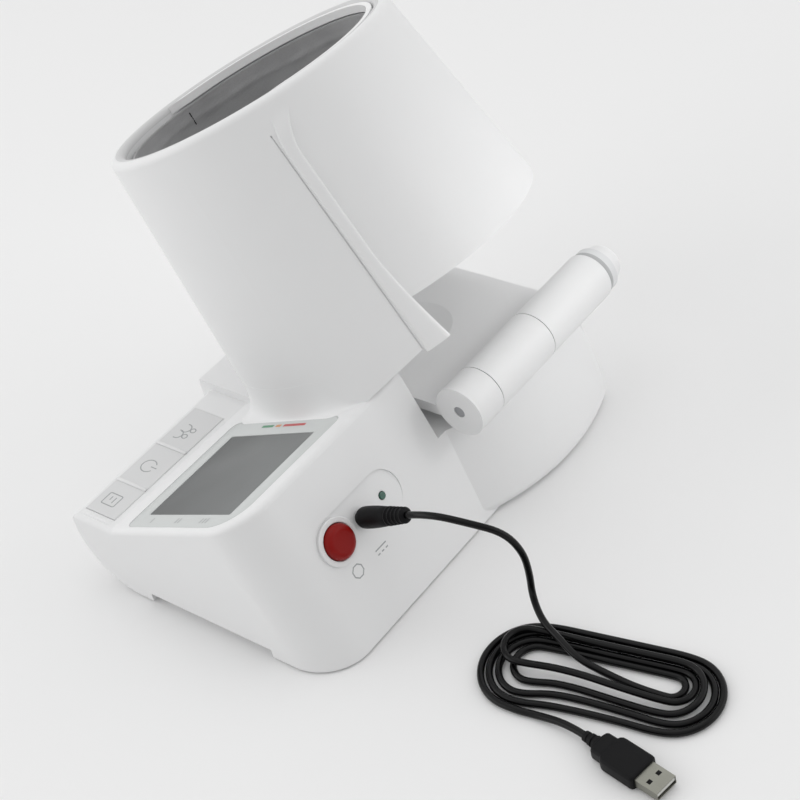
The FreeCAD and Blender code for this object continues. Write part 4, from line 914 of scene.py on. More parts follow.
@dataclass
class ArmTunnel:
    """The leaning arm tunnel: its raised strip, its foot on the case, its lining and its rim."""

    rim_radius: float = 78.3
    flare: float = 11.7 / 110.0
    lean: Point = (-6.9, 4.0, -110.0)
    strip_right: float = -8.9
    strip_left: float = -13.8
    strip_proud: float = 1.3
    strip_top: float = 4.5
    strip_fade: float = 11.0
    strip_bend: float = 26.0
    bend_pull: Flat = (3.4, 7.0)
    spread_start: float = 80.0
    spread_length: float = 55.0
    spread_width: float = 6.5
    seam_top: float = 13.0
    lining_radius: float = 67.1
    lining_top: float = 2.4
    lining_bottom: float = 107.0
    lining_thickness: float = 1.1
    fold_share: float = 0.075
    fold_width: float = 0.013
    fold_rise: float = 0.75
    mark_turn: float = -95.0
    mark_depth: float = 6.4
    lip_ends: Flat = (65.0, 260.0)
    lip_radii: Flat = (67.0, 69.7)
    lip_heights: Flat = (-1.7, 2.3)
    lip_taper: float = 11.0
    rim_bore: float = 70.0
    rim_crest: float = 3.0
    rim_round: float = 3.6
    cove_rear: float = -26.0
    cove_front: float = 36.0
    cove_fades: Flat = (12.0, 9.0)
    cove_reach: Flat = (1.6, 11.0)
    cove_rise: float = 17.0
    cove_limit: float = 27.6
    cove_sunk: float = 0.6
    block_right: float = 8.0
    block_rear: float = -45.0
    block_top: float = 48.0

    STRIP_SECTION = (
        (0.0, -0.12), (0.03, 0.45), (0.09, 0.85), (0.2, 0.97), (0.35, 1.0), (0.5, 1.0),
        (0.65, 1.0), (0.8, 0.97), (0.91, 0.85), (0.97, 0.45), (1.0, -0.12),
    )
    TONGUE_SECTION = ((-8.75, -0.55), (-7.85, -0.55), (-7.85, -1.6), (-8.75, -1.6))

    @property
    def down(self) -> Vector:
        """The unit direction of the wall's axis, from the rim down."""
        return (Frames.TUNNEL.to_3x3() @ Vector(self.lean)).normalized()

    def outward(self, turn: float) -> Vector:
        """The unit direction from the axis at an angle in degrees."""
        east = Vector((1.0, 0.0, 0.0))
        east = (east - self.down * east.dot(self.down)).normalized()
        front = self.down.cross(east)
        angle = math.radians(turn)
        return east * math.cos(angle) + front * math.sin(angle)

    def wall_spot(self, depth: float, turn: float, grow: float = 0.0) -> Vector:
        """A point on the flaring outer wall.

        Args:
            depth: The distance down the axis from the rim, in mm.
            turn: The angle round the axis, in degrees; nought is the panel's side, minus is the rear.
            grow: The distance outside the wall, in mm.

        Returns:
            The point, in mm.
        """
        radius = self.rim_radius + self.flare * depth + grow
        return Frames.TUNNEL.translation + self.down * depth + self.outward(turn) * radius

    def seam_spot(self, depth: float, x: float, grow: float) -> Vector:
        """The point on the wall's rear side at a place across the object, in mm."""
        turn = halved(-110.0, 0.0, lambda angle: self.wall_spot(depth, angle).x < x)
        return self.wall_spot(depth, turn, grow)

    @staticmethod
    def bore_spot(turn: float, reach: float, height: float) -> Vector:
        """A point in the bore's frame by angle in radians, radius and height over the rim's plane."""
        return Frames.TUNNEL @ Vector((reach * math.cos(turn), reach * math.sin(turn), height))

    def strip_edges(self, depth: float) -> Flat:
        """Where the strip's two edges lie across the object at a depth, in mm."""
        bend = max(0.0, (self.strip_bend - depth) / (self.strip_bend - self.strip_top))
        spread = max(0.0, (depth - self.spread_start) / self.spread_length)
        right = self.strip_right - self.bend_pull[0] * bend**2
        left = self.strip_left - self.bend_pull[1] * bend**1.8 - self.spread_width * spread**1.5
        return right, left

    def strip_bottom(self) -> float:
        """How far down the wall the strip's solid reaches, in mm."""
        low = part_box("seam_strip")[0].z / MM
        turn = halved(-110.0, 0.0, lambda angle: self.wall_spot(120.0, angle).x < self.strip_left)
        return halved(60.0, 160.0, lambda depth: self.wall_spot(depth, turn).z > low)

    def strip(self, wardrobe: Wardrobe) -> Thing:
        """The raised strip beside the seam: soft edges, bent and faded at its top."""
        bottom = self.strip_bottom()
        rows = 72
        loops = []
        for row in range(rows + 1):
            depth = between(self.strip_top, bottom, (row / rows) ** 1.3)
            fade = min(1.0, (depth - self.strip_top) / self.strip_fade)
            proud = self.strip_proud * (0.5 - 0.5 * math.cos(fade * math.pi))
            right, left = self.strip_edges(depth)
            loop = []
            for share, rise in self.STRIP_SECTION:
                grow = proud * rise if rise > 0 else rise
                loop.append(self.seam_spot(depth, between(right, left, share), grow))
            loops.append(loop)
        return wardrobe.skin("seam_ridge", loops, Slot.WHITE_SHELL, sharp=60.0, replaces=["seam_strip"])

    def seam_tongue(self, wardrobe: Wardrobe) -> Thing:
        """The moulded tongue that closes the seam just under the surface."""
        bottom = self.strip_bottom() - 1.0
        rows = 48
        loops = []
        for row in range(rows + 1):
            depth = between(self.seam_top, bottom, row / rows)
            loops.append([self.seam_spot(depth, x, grow) for x, grow in self.TONGUE_SECTION])
        return wardrobe.skin("seam_tongue", loops, Slot.WHITE_SHELL)

    def cove(self, wardrobe: Wardrobe) -> Thing:
        """The soft hollow blend between the tunnel's wall and the case's top."""
        rows, steps = 56, 12
        loops = []
        for row in range(rows + 1):
            turn = between(self.cove_rear, self.cove_front, row / rows)
            foot = halved(90.0, 170.0, lambda depth: self.above_case(self.wall_spot(depth, turn)) > 0)
            corner = self.wall_spot(foot, turn)
            reach, rise = self.cove_size(turn, corner)
            top = self.wall_spot(foot - rise, turn, 0.02)
            out = self.outward(turn)
            normal = self.top_normal(corner)
            away = (out - normal * out.dot(normal)).normalized()
            low = corner + away * reach + normal * 0.03
            loop = []
            for step in range(steps + 1):
                t = step / steps
                loop.append(top * (1 - t) ** 2 + corner * 2 * t * (1 - t) + low * t**2)
            under, behind = normal * self.cove_sunk, out * self.cove_sunk
            loops.append([*loop, low - under, corner - under - behind, top - behind])
        return wardrobe.skin("tunnel_foot", loops, Slot.WHITE_SHELL, sharp=60.0)

    def top_normal(self, spot: Vector) -> Vector:
        """The normal of the case's top under a point."""
        up = Vector((0.0, 0.0, 1.0))
        if spot.x < self.block_right and spot.y < self.block_rear:
            return up
        return (Frames.PANEL.to_3x3() @ up).normalized()

    def above_case(self, spot: Vector) -> float:
        """How far a point stands above the case's top, in mm."""
        above = (Frames.PANEL.inverted() @ spot).z
        return min(above, spot.z - self.block_top) if spot.x < self.block_right else above

    def cove_size(self, turn: float, corner: Vector) -> Flat:
        """How far the blend reaches out over the case and up the wall, in mm.

        Args:
            turn: The angle round the axis, in degrees.
            corner: Where the wall meets the case.

        Returns:
            The reach and the rise.
        """
        rear, front = self.cove_fades
        ends = eased(min((turn - self.cove_rear) / rear, (self.cove_front - turn) / front))
        least, most = self.cove_reach
        spare = (self.cove_limit - corner.x) / max(0.2, math.cos(math.radians(turn)))
        return max(0.05, max(least, min(most, spare)) * ends), max(0.1, self.cove_rise * ends)

    def lining(self, wardrobe: Wardrobe) -> Thing:
        """The woven sleeve inside the tunnel, slightly slack, with its own UV map in metres."""
        around, rows = 160, 96
        loops = []
        for row in range(rows + 1):
            share = row / rows
            depth = between(self.lining_top, self.lining_bottom, share)
            loop = []
            for step in range(around):
                turn = 2 * math.pi * step / around
                loop.append(self.bore_spot(turn, self.lining_radius + self.slack(turn, share), -depth))
            loops.append(loop)
        mesh = MeshKit.loops("woven_lining", loops, caps=False)
        grid = mesh.uv_layers.new(name="weave")
        length = (self.lining_bottom - self.lining_top) * MM
        girth = 2 * math.pi * self.lining_radius * MM
        for face in mesh.polygons:
            row, step = divmod(face.index, around)
            corners = ((step, row), (step + 1, row), (step + 1, row + 1), (step, row + 1))
            for corner, (i, j) in zip(face.loop_indices, corners):
                grid.data[corner].uv = (girth * i / around, length * j / rows)
        mesh.shade_smooth()
        cloth = wardrobe.piece("woven_lining", mesh, Slot.GREY_FABRIC, replaces=["cuff_lining"])
        skin = cloth.modifiers.new("thickness", "SOLIDIFY")
        skin.thickness = self.lining_thickness * MM
        skin.offset = 0.0
        return cloth

    def slack(self, turn: float, share: float) -> float:
        """How far the cloth stands off its even radius: swells, puckers and one fold below the rim.

        Args:
            turn: The angle round the tunnel, in radians.
            share: The place from the top, nought, to the bottom, one.

        Returns:
            The radial step, in mm; minus is inwards.
        """
        held = math.sin(math.pi * share)
        swell = 0.55 * math.sin(3 * turn + 0.8) * math.sin(2.2 * math.pi * share + 0.4)
        pucker = 0.22 * math.sin(17 * turn + 5.0 * share) * math.sin(3.1 * math.pi * share)
        wander = 0.007 * math.sin(2 * turn + 0.6) + 0.005 * math.sin(9 * turn)
        fold = self.fold_rise * math.exp(-(((share - self.fold_share - wander) / self.fold_width) ** 2))
        return held * (swell + pucker - 0.25) - fold * (0.7 + 0.3 * math.sin(23 * turn))

    def sewn_mark(self, wardrobe: Wardrobe) -> Thing:
        """The short sewn mark that shows just inside the rim."""
        aside = Matrix.Rotation(math.radians(self.mark_turn), 4, "Z")
        spot = aside @ Matrix.Translation((self.lining_radius - 0.7, 0.0, -self.mark_depth))
        step = (0.0, 0.0, -1.4)
        frame = Frames.TUNNEL @ spot
        return wardrobe.row("sewn_mark", RowTree.stitch, frame, Slot.BLACK_RUBBER, 5, (0.0, 0.0, 0.0), step)

    def rim_shade_band(self, wardrobe: Wardrobe) -> Thing:
        """A pale grey band round the rim's inner rounding: painted shade on the rim's inner face."""
        middle = (self.rim_bore + self.rim_round, self.rim_crest - self.rim_round)
        outline = MeshKit.arc(middle, self.rim_round + 0.06, 180.0, 82.0, 14)
        outline += MeshKit.arc(middle, self.rim_round - 0.3, 82.0, 180.0, 14)
        profile = [(height, reach) for reach, height in outline + outline[:1]]
        loops = MeshKit.turned(profile, Frames.TUNNEL, 160)
        # Its grey finish paints the shade on the rim's inner rounding.
        return wardrobe.skin("rim_shade_band", loops, Slot.WHITE_SHELL, caps=False, ink=Ink.RIM_SHADE)

    def lip_tapers(self, wardrobe: Wardrobe) -> None:
        """Runs both ends of the rim's inner lip out into the wall."""
        inner, outer = self.lip_radii
        low, high = self.lip_heights
        steps = 12
        for name, start, way in zip(("lip_taper_rear", "lip_taper_front"), self.lip_ends, (-1.0, 1.0)):
            loops = []
            for step in range(steps + 1):
                turn = math.radians(start + way * self.lip_taper * step / steps)
                edge = between(inner, outer - 0.1, eased(step / steps))
                section = ((edge, low), (edge, high), (outer, high), (outer, low))
                loops.append([self.bore_spot(turn, reach, height) for reach, height in section])
            # The lip's brighter finish is painted light on the tapers too.
            wardrobe.skin(name, loops, Slot.WHITE_SHELL, ink=Ink.LIP)

    def build(self, wardrobe: Wardrobe) -> None:
        """Makes the tunnel's pieces."""
        self.strip(wardrobe)
        self.seam_tongue(wardrobe)
        self.cove(wardrobe)
        self.lining(wardrobe)
        self.sewn_mark(wardrobe)
        self.lip_tapers(wardrobe)
        self.rim_shade_band(wardrobe)


@dataclass
class ControlPanel:
    """The display window with its prints, and the three keys with their ridges and symbols."""

    low: Flat = (25.8, 10.8)
    high: Flat = (108.5, 97.5)
    corner: float = 5.0
    far_corner: float = 18.0
    screen_low: Flat = (37.7, 20.5)
    screen_high: Flat = (99.0, 88.0)
    screen_corner: float = 0.8
    thickness: float = 1.8
    gap: float = 0.15
    key_top: float = 43.9
    ledge_top: float = 43.5
    keys_left: float = 22.6
    keys_right: float = 105.4
    keys_front: float = -84.0
    keys_rear: float = -62.4
    key_pitch: float = 29.8
    key_depth: float = 1.2
    icon_y: float = -74.6
    bar_across: float = 31.0
    tally_sides: Flat = (101.9, 105.3)
    bead_x: float = 107.5
    bead_half: float = 1.25

    RIDGE_SECTION = (
        (-0.3, -1.2), (0.3, -1.2), (0.3, 0.45), (0.85, 0.48), (0.95, 0.62), (0.8, 0.9), (0.45, 1.1),
        (0.0, 1.16), (-0.45, 1.1), (-0.8, 0.9), (-0.95, 0.62), (-0.85, 0.48), (-0.3, 0.45),
    )

    def outer(self, inset: float, height: float) -> list[Vector]:
        """The window's outline, drawn in by an inset, at a height over the panel."""
        inset += self.gap
        near, far = self.corner - inset, self.far_corner - inset
        low = (self.low[0] + inset, self.low[1] + inset)
        high = (self.high[0] - inset, self.high[1] - inset)
        outline = MeshKit.round_rectangle(low, high, (near, far, near, near))
        return [Frames.PANEL @ Vector((x, w, height)) for x, w in outline]

    def opening(self, grow: float, height: float) -> list[Vector]:
        """The screen's outline, grown by a margin, at a height over the panel."""
        low = (self.screen_low[0] - grow, self.screen_low[1] - grow)
        high = (self.screen_high[0] + grow, self.screen_high[1] + grow)
        outline = MeshKit.round_rectangle(low, high, [self.screen_corner + grow] * 4)
        return [Frames.PANEL @ Vector((x, w, height)) for x, w in outline]

    def border(self, wardrobe: Wardrobe) -> Thing:
        """The pale border round the screen, with softened edges."""
        outside = ((0.0, -self.thickness), (0.0, -0.45), (0.12, -0.12), (0.45, 0.02))
        inside = ((0.5, 0.02), (0.12, -0.12), (0.0, -0.5), (0.0, -self.thickness))
        loops = [self.outer(*place) for place in outside]
        loops += [self.opening(*place) for place in inside]
        loops.append(self.outer(*outside[0]))
        return wardrobe.skin(
            "window_border", loops, Slot.PANEL_BORDER, caps=False, replaces=["display_panel"]
        )

    def screen(self, wardrobe: Wardrobe) -> Thing:
        """The unlit screen's glass, set a little below the border."""
        loops = [self.opening(*place) for place in ((-0.05, -1.7), (-0.05, -0.36), (-0.25, -0.24))]
        return wardrobe.skin("screen_glass", loops, Slot.LCD_GLASS)

    def prints(self, wardrobe: Wardrobe) -> None:
        """The plain three-colour scale and the tally marks on the border."""
        frame = Frames.PANEL @ Matrix.Translation((0.0, 0.0, 0.03))
        for ink, start, stop in ((Ink.GREEN, 39.2, 48.4), (Ink.ORANGE, 50.6, 54.6), (Ink.RED, 56.8, 74.4)):
            line = [(self.bar_across, start), (self.bar_across, stop)]
            mesh = MeshKit.strokes(f"scale_{ink.value}", [line], 1.9, frame)
            wardrobe.piece(f"scale_{ink.value}", mesh, Slot.PANEL_BORDER, ink=ink)
        ticks = []
        for count, along in enumerate((28.8, 51.3, 72.9), start=1):
            for i in range(count):
                at = along + 2.4 * (i - (count - 1) / 2)
                ticks.append([(side, at) for side in self.tally_sides])
        mesh = MeshKit.strokes("tally_marks", ticks, 0.95, frame)
        wardrobe.piece("tally_marks", mesh, Slot.PANEL_BORDER, ink=Ink.GREY)

    def key_bed(self, wardrobe: Wardrobe) -> Thing:
        """The thin moulded step that fills the keys' long gaps just under their tops."""
        left, right, front, rear = self.keys_left, self.keys_right, self.keys_front, self.keys_rear
        top, low = self.ledge_top - 0.02, self.ledge_top - self.key_depth
        fill, slit = 0.33, 0.1
        outer = [(left, front), (right, front), (right, rear), (left, rear)]
        inner = [
            (left + fill, front + fill), (right - slit, front + fill),
            (right - slit, rear - fill), (left + fill, rear - fill),
        ]
        loops = [
            [Vector((x, y, z)) for x, y in outline]
            for outline, z in ((outer, low), (outer, top), (inner, top), (inner, low), (outer, low))
        ]
        return wardrobe.skin("key_bed", loops, Slot.WHITE_SHELL, caps=False)

    def key_ridges(self, wardrobe: Wardrobe) -> Thing:
        """The two rounded ridges between the keys, which a neck holds in the gap."""
        front, rear = self.keys_front, self.keys_rear
        work = bmesh.new()
        for number in (1, 2):
            x = self.keys_left + self.key_pitch * number
            loops = []
            for y, size in ((front + 0.05, 1.0), (rear - 1.2, 1.0), (rear - 0.5, 0.6)):
                section = [(x + a * size, min(h, h * size + 0.1)) for a, h in self.RIDGE_SECTION]
                loops.append([Vector((across, y, self.ledge_top + rise)) for across, rise in section])
            ridge = MeshKit.loops("ridge", loops)
            work.from_mesh(ridge)
            bpy.data.meshes.remove(ridge)
        mesh = bpy.data.meshes.new("key_ridges")
        work.to_mesh(mesh)
        work.free()
        return wardrobe.piece("key_ridges", MeshKit.finish(mesh, 50.0), Slot.WHITE_SHELL)

    def ledge_bead(self, wardrobe: Wardrobe) -> Thing:
        """The rounded bead across the ledge beyond the last key."""
        middle, half, top = self.bead_x, self.bead_half, self.ledge_top
        steps = 12
        loops = []
        for step in range(steps + 1):
            share = step / steps
            y = between(self.keys_front + 0.6, self.keys_rear - 0.6, share)
            rise = 0.75 * min(1.0, math.sin(math.pi * share) * 2.2 + 0.05)
            angles = [math.pi * i / 8 for i in range(9)]
            loop = [Vector((middle + half * math.cos(a), y, top + rise * math.sin(a))) for a in angles]
            loop += [Vector((middle + side * half, y, top - 0.4)) for side in (-1.0, 1.0)]
            loops.append(loop)
        return wardrobe.skin("ledge_bead", loops, Slot.WHITE_SHELL, sharp=60.0)

    def symbols(self, wardrobe: Wardrobe) -> None:
        """The plain symbols printed on the keys."""
        shapes = {
            "key_left": (40.0, self.two_users()),
            "key_middle": (68.0, self.power()),
            "key_right": (95.0, self.memory()),
        }
        for body, (x, lines) in shapes.items():
            frame = Matrix.Translation((x, self.icon_y, self.key_top + 0.01))
            mesh = MeshKit.strokes(f"{body}_symbol", lines, 0.62, frame)
            wardrobe.piece(f"{body}_symbol", mesh, Slot.WHITE_GLOSS, body, ink=Ink.GREY)

    @staticmethod
    def two_users() -> list[list[Flat]]:
        """Two plain heads with shoulders."""
        lines = []
        for x, y in ((-2.4, 0.6), (2.8, -0.8)):
            shoulders = MeshKit.arc((x, y - 2.2), 2.9, 180.0, 0.0)
            lines.append(MeshKit.arc((x, y + 2.6), 1.5, 0.0, 360.0))
            lines.append([(x - 2.9, y - 3.0), *shoulders, (x + 2.9, y - 3.0)])
        return lines

    @staticmethod
    def power() -> list[list[Flat]]:
        """A broken ring and an upright bar."""
        return [MeshKit.arc((0.0, 0.0), 4.2, 122.0, 418.0, 30), [(0.0, 1.6), (0.0, 5.4)]]

    @staticmethod
    def memory() -> list[list[Flat]]:
        """A page with two lines of notes."""
        page = MeshKit.round_rectangle((-3.9, -4.3), (3.9, 4.3), [0.9] * 4, 5)
        return [page + page[:1], [(-2.0, 1.4), (2.0, 1.4)], [(-2.0, -1.2), (0.6, -1.2)]]

    def build(self, wardrobe: Wardrobe) -> None:
        """Makes the panel's pieces."""
        self.border(wardrobe)
        self.screen(wardrobe)
        self.prints(wardrobe)
        self.key_bed(wardrobe)
        self.key_ridges(wardrobe)
        self.ledge_bead(wardrobe)
        self.symbols(wardrobe)


@dataclass
class RearRow:
    """The plain signs printed under the stop button and the socket."""

    stop_spot: Flat = (69.4, 18.0)
    socket_spot: Flat = (52.0, 18.8)

    def build(self, wardrobe: Wardrobe) -> Thing:
        """Prints an empty octagon, and a line over three dashes."""
        across, down = self.socket_spot
        lines = [
            MeshKit.arc(self.stop_spot, 3.4, 22.5, 382.5, 8),
            [(across - 3.9, down - 1.1), (across + 3.9, down - 1.1)],
        ]
        for place in (-2.9, 0.0, 2.9):
            lines.append([(across + place - 0.8, down + 1.3), (across + place + 0.8, down + 1.3)])
        frame = Frames.REAR_FACE @ Matrix.Translation((0.0, 0.0, 0.01))
        mesh = MeshKit.strokes("rear_signs", lines, 0.7, frame)
        return wardrobe.piece("rear_signs", mesh, Slot.WHITE_SHELL, ink=Ink.GREY)


@dataclass
class ElbowRest:
    """A grey band of painted shade in the neck between the elbow rest's hinge bar and its end cap."""

    width: float = 2.9
    proud: float = 0.08

    def build(self, wardrobe: Wardrobe) -> Thing:
        """Turns the band about the bar's axis, on the washer's side towards the bar."""
        low, high = (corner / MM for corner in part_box("hinge_washer"))
        radius = (high.z - low.z) / 2
        middle = Vector((high.x - 0.1, (low.y + high.y) / 2, (low.z + high.z) / 2))
        frame = Matrix.Translation(middle) @ Matrix.Rotation(math.radians(-90.0), 4, "Y")
        base, crest = radius - 0.5, radius + self.proud
        profile = [
            (0.0, base), (0.0, crest - 0.05), (0.1, crest), (self.width - 0.1, crest),
            (self.width, crest - 0.05), (self.width, base), (0.0, base),
        ]
        loops = MeshKit.turned(profile, frame, 64)
        # The band's grey finish is painted shade on the white neck.
        return wardrobe.skin("neck_band", loops, Slot.DARK_WASHER, caps=False, ink=Ink.NECK)


@dataclass
class PowerPlug:
    """The plug in the rear socket: a moulded body that tapers into a ribbed sleeve."""

    across: float = 52.5
    sleeve_end: float = 33.6
    ribs: int = 5

    PROFILE = (
        (-0.4, 1.0), (-0.4, 3.5), (0.8, 3.5), (1.0, 3.8), (1.3, 4.4), (1.9, 4.85), (2.9, 5.15), (4.5, 5.3),
        (9.0, 5.3), (13.0, 5.15), (17.0, 4.85), (20.4, 4.5), (20.8, 4.2), (24.0, 3.9), (28.0, 3.65),
        (32.0, 3.45), (33.0, 3.35), (33.4, 3.1), (33.6, 2.7), (33.6, 1.0),
    )

    @property
    def frame(self) -> Matrix:
        """Z runs out of the socket."""
        return Frames.RECESS @ Matrix.Translation((self.across, 0.0, 0.0))

    def build(self, wardrobe: Wardrobe) -> list[Thing]:
        """Makes the plug's body and its ribs."""
        loops = MeshKit.turned(self.PROFILE, self.frame, 56)
        stands_for = ["power_plug", "plug_boot"]
        body = wardrobe.skin("plug_body", loops, Slot.BLACK_PLASTIC, replaces=stands_for)
        first, step = (0.0, 0.0, 22.2), (0.0, 0.0, 2.6)
        ribs = wardrobe.row(
            "plug_ribs", RowTree.rib, self.frame, Slot.BLACK_PLASTIC, self.ribs, first, step, (3.98, 3.34)
        )
        return [body, ribs]


@dataclass
class FlatConnector:
    """The flat connector on the cord's far end: ringed sleeve, neck, body and windowed shell."""

    start: Point = (83.4, 190.0, 4.0)
    turn: float = 9.2
    shell_start: float = 33.0
    shell_height: float = 4.5

    STATIONS = (
        (0.0, 4.0, 4.0, 2.0), (0.2, 4.9, 4.9, 2.4), (2.0, 5.1, 5.1, 2.5), (2.3, 4.3, 4.3, 2.1),
        (2.9, 4.3, 4.3, 2.1), (3.2, 5.6, 5.4, 2.6), (4.8, 5.8, 5.6, 2.6), (5.1, 4.8, 4.8, 2.3),
        (5.7, 4.8, 4.8, 2.3), (6.0, 6.4, 5.8, 2.6), (7.6, 6.6, 6.0, 2.6), (7.9, 9.6, 6.4, 2.2),
        (8.4, 11.4, 6.8, 1.8), (9.2, 12.0, 7.0, 1.6), (13.6, 12.2, 7.0, 1.6), (14.2, 12.6, 7.1, 1.6),
        (14.8, 14.6, 7.6, 1.8), (15.8, 15.7, 7.9, 1.8), (17.2, 16.0, 8.0, 1.8), (31.4, 16.0, 8.0, 1.8),
        (32.3, 15.7, 7.8, 1.8), (32.8, 15.0, 7.2, 1.6), (33.0, 14.0, 6.4, 1.4),
    )

    @property
    def frame(self) -> Matrix:
        """Y runs along the connector, X across it."""
        return Matrix.Translation(self.start) @ Matrix.Rotation(math.radians(-self.turn), 4, "Z")

    def section(self, along: float, width: float, height: float, corner: float) -> list[Vector]:
        """One cross-section of the connector's body, in mm."""
        low, high = (-width / 2, -height / 2), (width / 2, height / 2)
        outline = MeshKit.round_rectangle(low, high, [min(corner, *high)] * 4, 7)
        return [self.frame @ Vector((x, along, z)) for x, z in outline]

    def body(self, wardrobe: Wardrobe) -> Thing:
        """The moulded body with its stepped neck."""
        loops = [self.section(*station) for station in self.STATIONS]
        return wardrobe.skin(
            "connector_body", loops, Slot.BLACK_PLASTIC, sharp=40.0, replaces=["usb_body"]
        )

    def windows(self, wardrobe: Wardrobe) -> Thing:
        """The two dark plates on the shell's top: painted shade of its recessed windows."""
        first = (-2.9, self.shell_start + 5.6, self.shell_height / 2 + 0.02)
        step = (5.8, 0.0, 0.0)
        # Black plates lying flat on the shell paint the shade inside its window holes.
        return wardrobe.row(
            "shell_window_shades", RowTree.window, self.frame, Slot.BLACK_PLASTIC, 2, first, step
        )

    def build(self, wardrobe: Wardrobe) -> list[Thing]:
        """Makes the connector's pieces."""
        return [self.body(wardrobe), self.windows(wardrobe)]


@dataclass(frozen=True)
class HankTurn:
    """One loose turn of the hank: places across the runs and heights over its lowest layer, in mm.

    The lifts are those where the far bend begins, at its end and where it stops, of the rear run, and
    where the near bend begins, at its end and where it stops.
    """

    start: float
    rear: float
    stop: float
    near: float
    far: float
    far_reach: float = 0.0
    near_reach: float = 0.0
    lifts: tuple[float, ...] = (0.0,) * 7


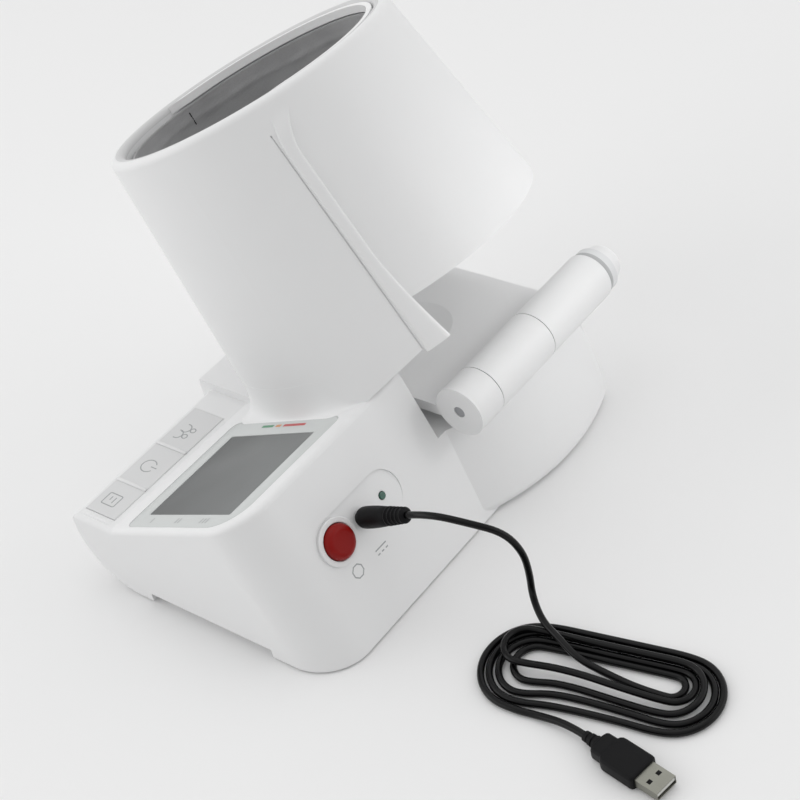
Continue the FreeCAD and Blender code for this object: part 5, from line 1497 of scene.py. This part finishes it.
@dataclass
class PowerCord:
    """The power lead: one line of cord from the plug's sleeve through the hank to the connector."""

    diameter: float = 3.4
    length: float = 1260.0
    hank_turn: float = 11.4
    hank_half: float = 30.75
    hank_middle: Flat = (52.0, 178.0)
    hank_height: float = 1.9
    bend_steps: int = 6
    bend_swell: float = 1.0 / 0.975
    lead: tuple[Point, ...] = (
        (46.5, 116.0, 66.0), (38.5, 127.0, 58.0), (34.9, 132.4, 45.0), (34.5, 133.2, 31.0),
        (36.5, 133.8, 18.5), (41.6, 141.2, 10.5), (46.0, 153.0, 9.4), (50.0, 165.0, 6.0),
    )
    entry: tuple[Point, ...] = ((-2.6, 2.0, 0.6), (0.4, 16.0, 0.0))
    turns: tuple[HankTurn, ...] = (
        HankTurn(2.0, -10.2, 11.0, 7.6, 10.6, 0.5),
        HankTurn(11.5, -16.3, 4.5, 2.4, 5.9, 1.5, -7.0, (0.0, 1.8, 3.2, 3.0, 3.4, 3.9, 3.8)),
        HankTurn(6.2, -13.9, 18.5, 13.5, 14.8, 1.3, -0.5, (2.5, 0.8, 0.0, 0.0, 0.0, 0.0, 0.0)),
        HankTurn(16.6, -18.6, 23.3, 20.5, 20.3, 2.8),
        HankTurn(21.5, -22.6, 27.3, 27.3, 27.3, 2.2),
    )

    def hank_spot(self, across: float, along: float, lift: float = 0.0) -> Vector:
        """A point given across and along the hank's runs and above its lowest layer, in mm."""
        turn = math.radians(self.hank_turn)
        east = self.hank_middle[0] + across * math.cos(turn) - along * math.sin(turn)
        north = self.hank_middle[1] + across * math.sin(turn) + along * math.cos(turn)
        return Vector((east, north, self.hank_height + lift))

    def bend(self, start: float, stop: float, along: float, lifts: Sequence[float]) -> list[Vector]:
        """The points round one end of the hank.

        Args:
            start: Where across the runs it begins, in mm.
            stop: Where it ends, in mm.
            along: The end's place along the runs, in mm.
            lifts: The lift at its beginning, its middle and its end, in mm.

        Returns:
            The points on the half turn, a little outside it.
        """
        middle = (start + stop) / 2
        reach = (start - stop) / 2
        bulge = abs(reach) * math.copysign(1.0, along)
        points = []
        for step in range(self.bend_steps + 1):
            share = step / self.bend_steps
            swell = self.bend_swell if 0.0 < share < 1.0 else 1.0
            across = middle + reach * math.cos(math.pi * share) * swell
            out = along + bulge * math.sin(math.pi * share) * swell
            rise = between(lifts[0], lifts[1], 2.0 * share)
            fall = between(lifts[1], lifts[2], 2.0 * share - 1.0)
            points.append(self.hank_spot(across, out, rise if share < 0.5 else fall))
        return points

    def one_loop(self, turn: HankTurn) -> list[Vector]:
        """One turn of the hank: round the far end, down the rear, round the near end."""
        half = self.hank_half
        points = self.bend(turn.start, turn.rear, half + turn.far_reach, turn.lifts[:3])
        points += [self.hank_spot(turn.rear, side * half / 2, turn.lifts[3]) for side in (1.0, -1.0)]
        return points + self.bend(turn.rear, turn.stop, turn.near_reach - half, turn.lifts[4:])

    def route(self, plug: PowerPlug, end: FlatConnector) -> list[Vector]:
        """The control points of the whole cord.

        Args:
            plug: The plug that it leaves.
            end: The connector that it goes into.

        Returns:
            The points, in mm.
        """
        points = [plug.frame @ Vector((0.0, 0.0, plug.sleeve_end + out)) for out in (0.0, 15.0)]
        points += [Vector(place) for place in self.lead]
        points += [self.hank_spot(*place) for place in self.entry]
        for turn in self.turns[:-1]:
            points += self.one_loop(turn)
            sides = ((turn.near, -self.hank_half / 2), (turn.far, self.hank_half / 2))
            points += [self.hank_spot(across, along, turn.lifts[6]) for across, along in sides]
        points += self.one_loop(self.turns[-1])
        points.append(self.hank_spot(self.turns[-1].near, 12.5 - self.hank_half))
        points += [end.frame @ Vector((0.0, along, 0.0)) for along in (-10.0, 0.0)]
        return points

    def build(self, wardrobe: Wardrobe, plug: PowerPlug, end: FlatConnector, riders: list[Thing]) -> Thing:
        """Makes the cord as one smooth spline that stands for its three solids.

        Args:
            wardrobe: The finishes.
            plug: The plug that it leaves.
            end: The connector that it goes into.
            riders: The pieces on it; not used.

        Returns:
            The cord.
        """
        curve = bpy.data.curves.new("power_cord", "CURVE")
        curve.dimensions = "3D"
        curve.bevel_depth = self.diameter * MM / 2
        curve.bevel_resolution = 4
        curve.resolution_u = 6
        curve.use_fill_caps = True
        spline = curve.splines.new("NURBS")
        points = self.route(plug, end)
        spline.points.add(len(points) - 1)
        for knot, place in zip(spline.points, points):
            knot.co = (*(place * MM), 1.0)
        spline.order_u = 3
        spline.use_endpoint_u = True
        curve.materials.append(wardrobe.materials[Slot.BLACK_RUBBER])
        cord = bpy.data.objects.new("power_cord", curve)
        bpy.context.scene.collection.objects.link(cord)
        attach(cord, "base")
        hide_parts("cord_lead", "cord_hank", "cord_tail")
        LOG.info("piece %s on base, %d points", cord.name, len(points))
        return cord


def main() -> None:
    """Builds the scene piece by piece and reports each."""
    logging.basicConfig(level=logging.INFO, format="%(name)s: %(message)s")
    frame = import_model()
    Studio().build()
    wardrobe = Wardrobe()
    wardrobe.dress_frame(frame)
    ArmTunnel().build(wardrobe)
    ControlPanel().build(wardrobe)
    RearRow().build(wardrobe)
    ElbowRest().build(wardrobe)
    plug, end = PowerPlug(), FlatConnector()
    riders = plug.build(wardrobe) + end.build(wardrobe)
    PowerCord().build(wardrobe, plug, end, riders)


if __name__ == "__main__":
    main()
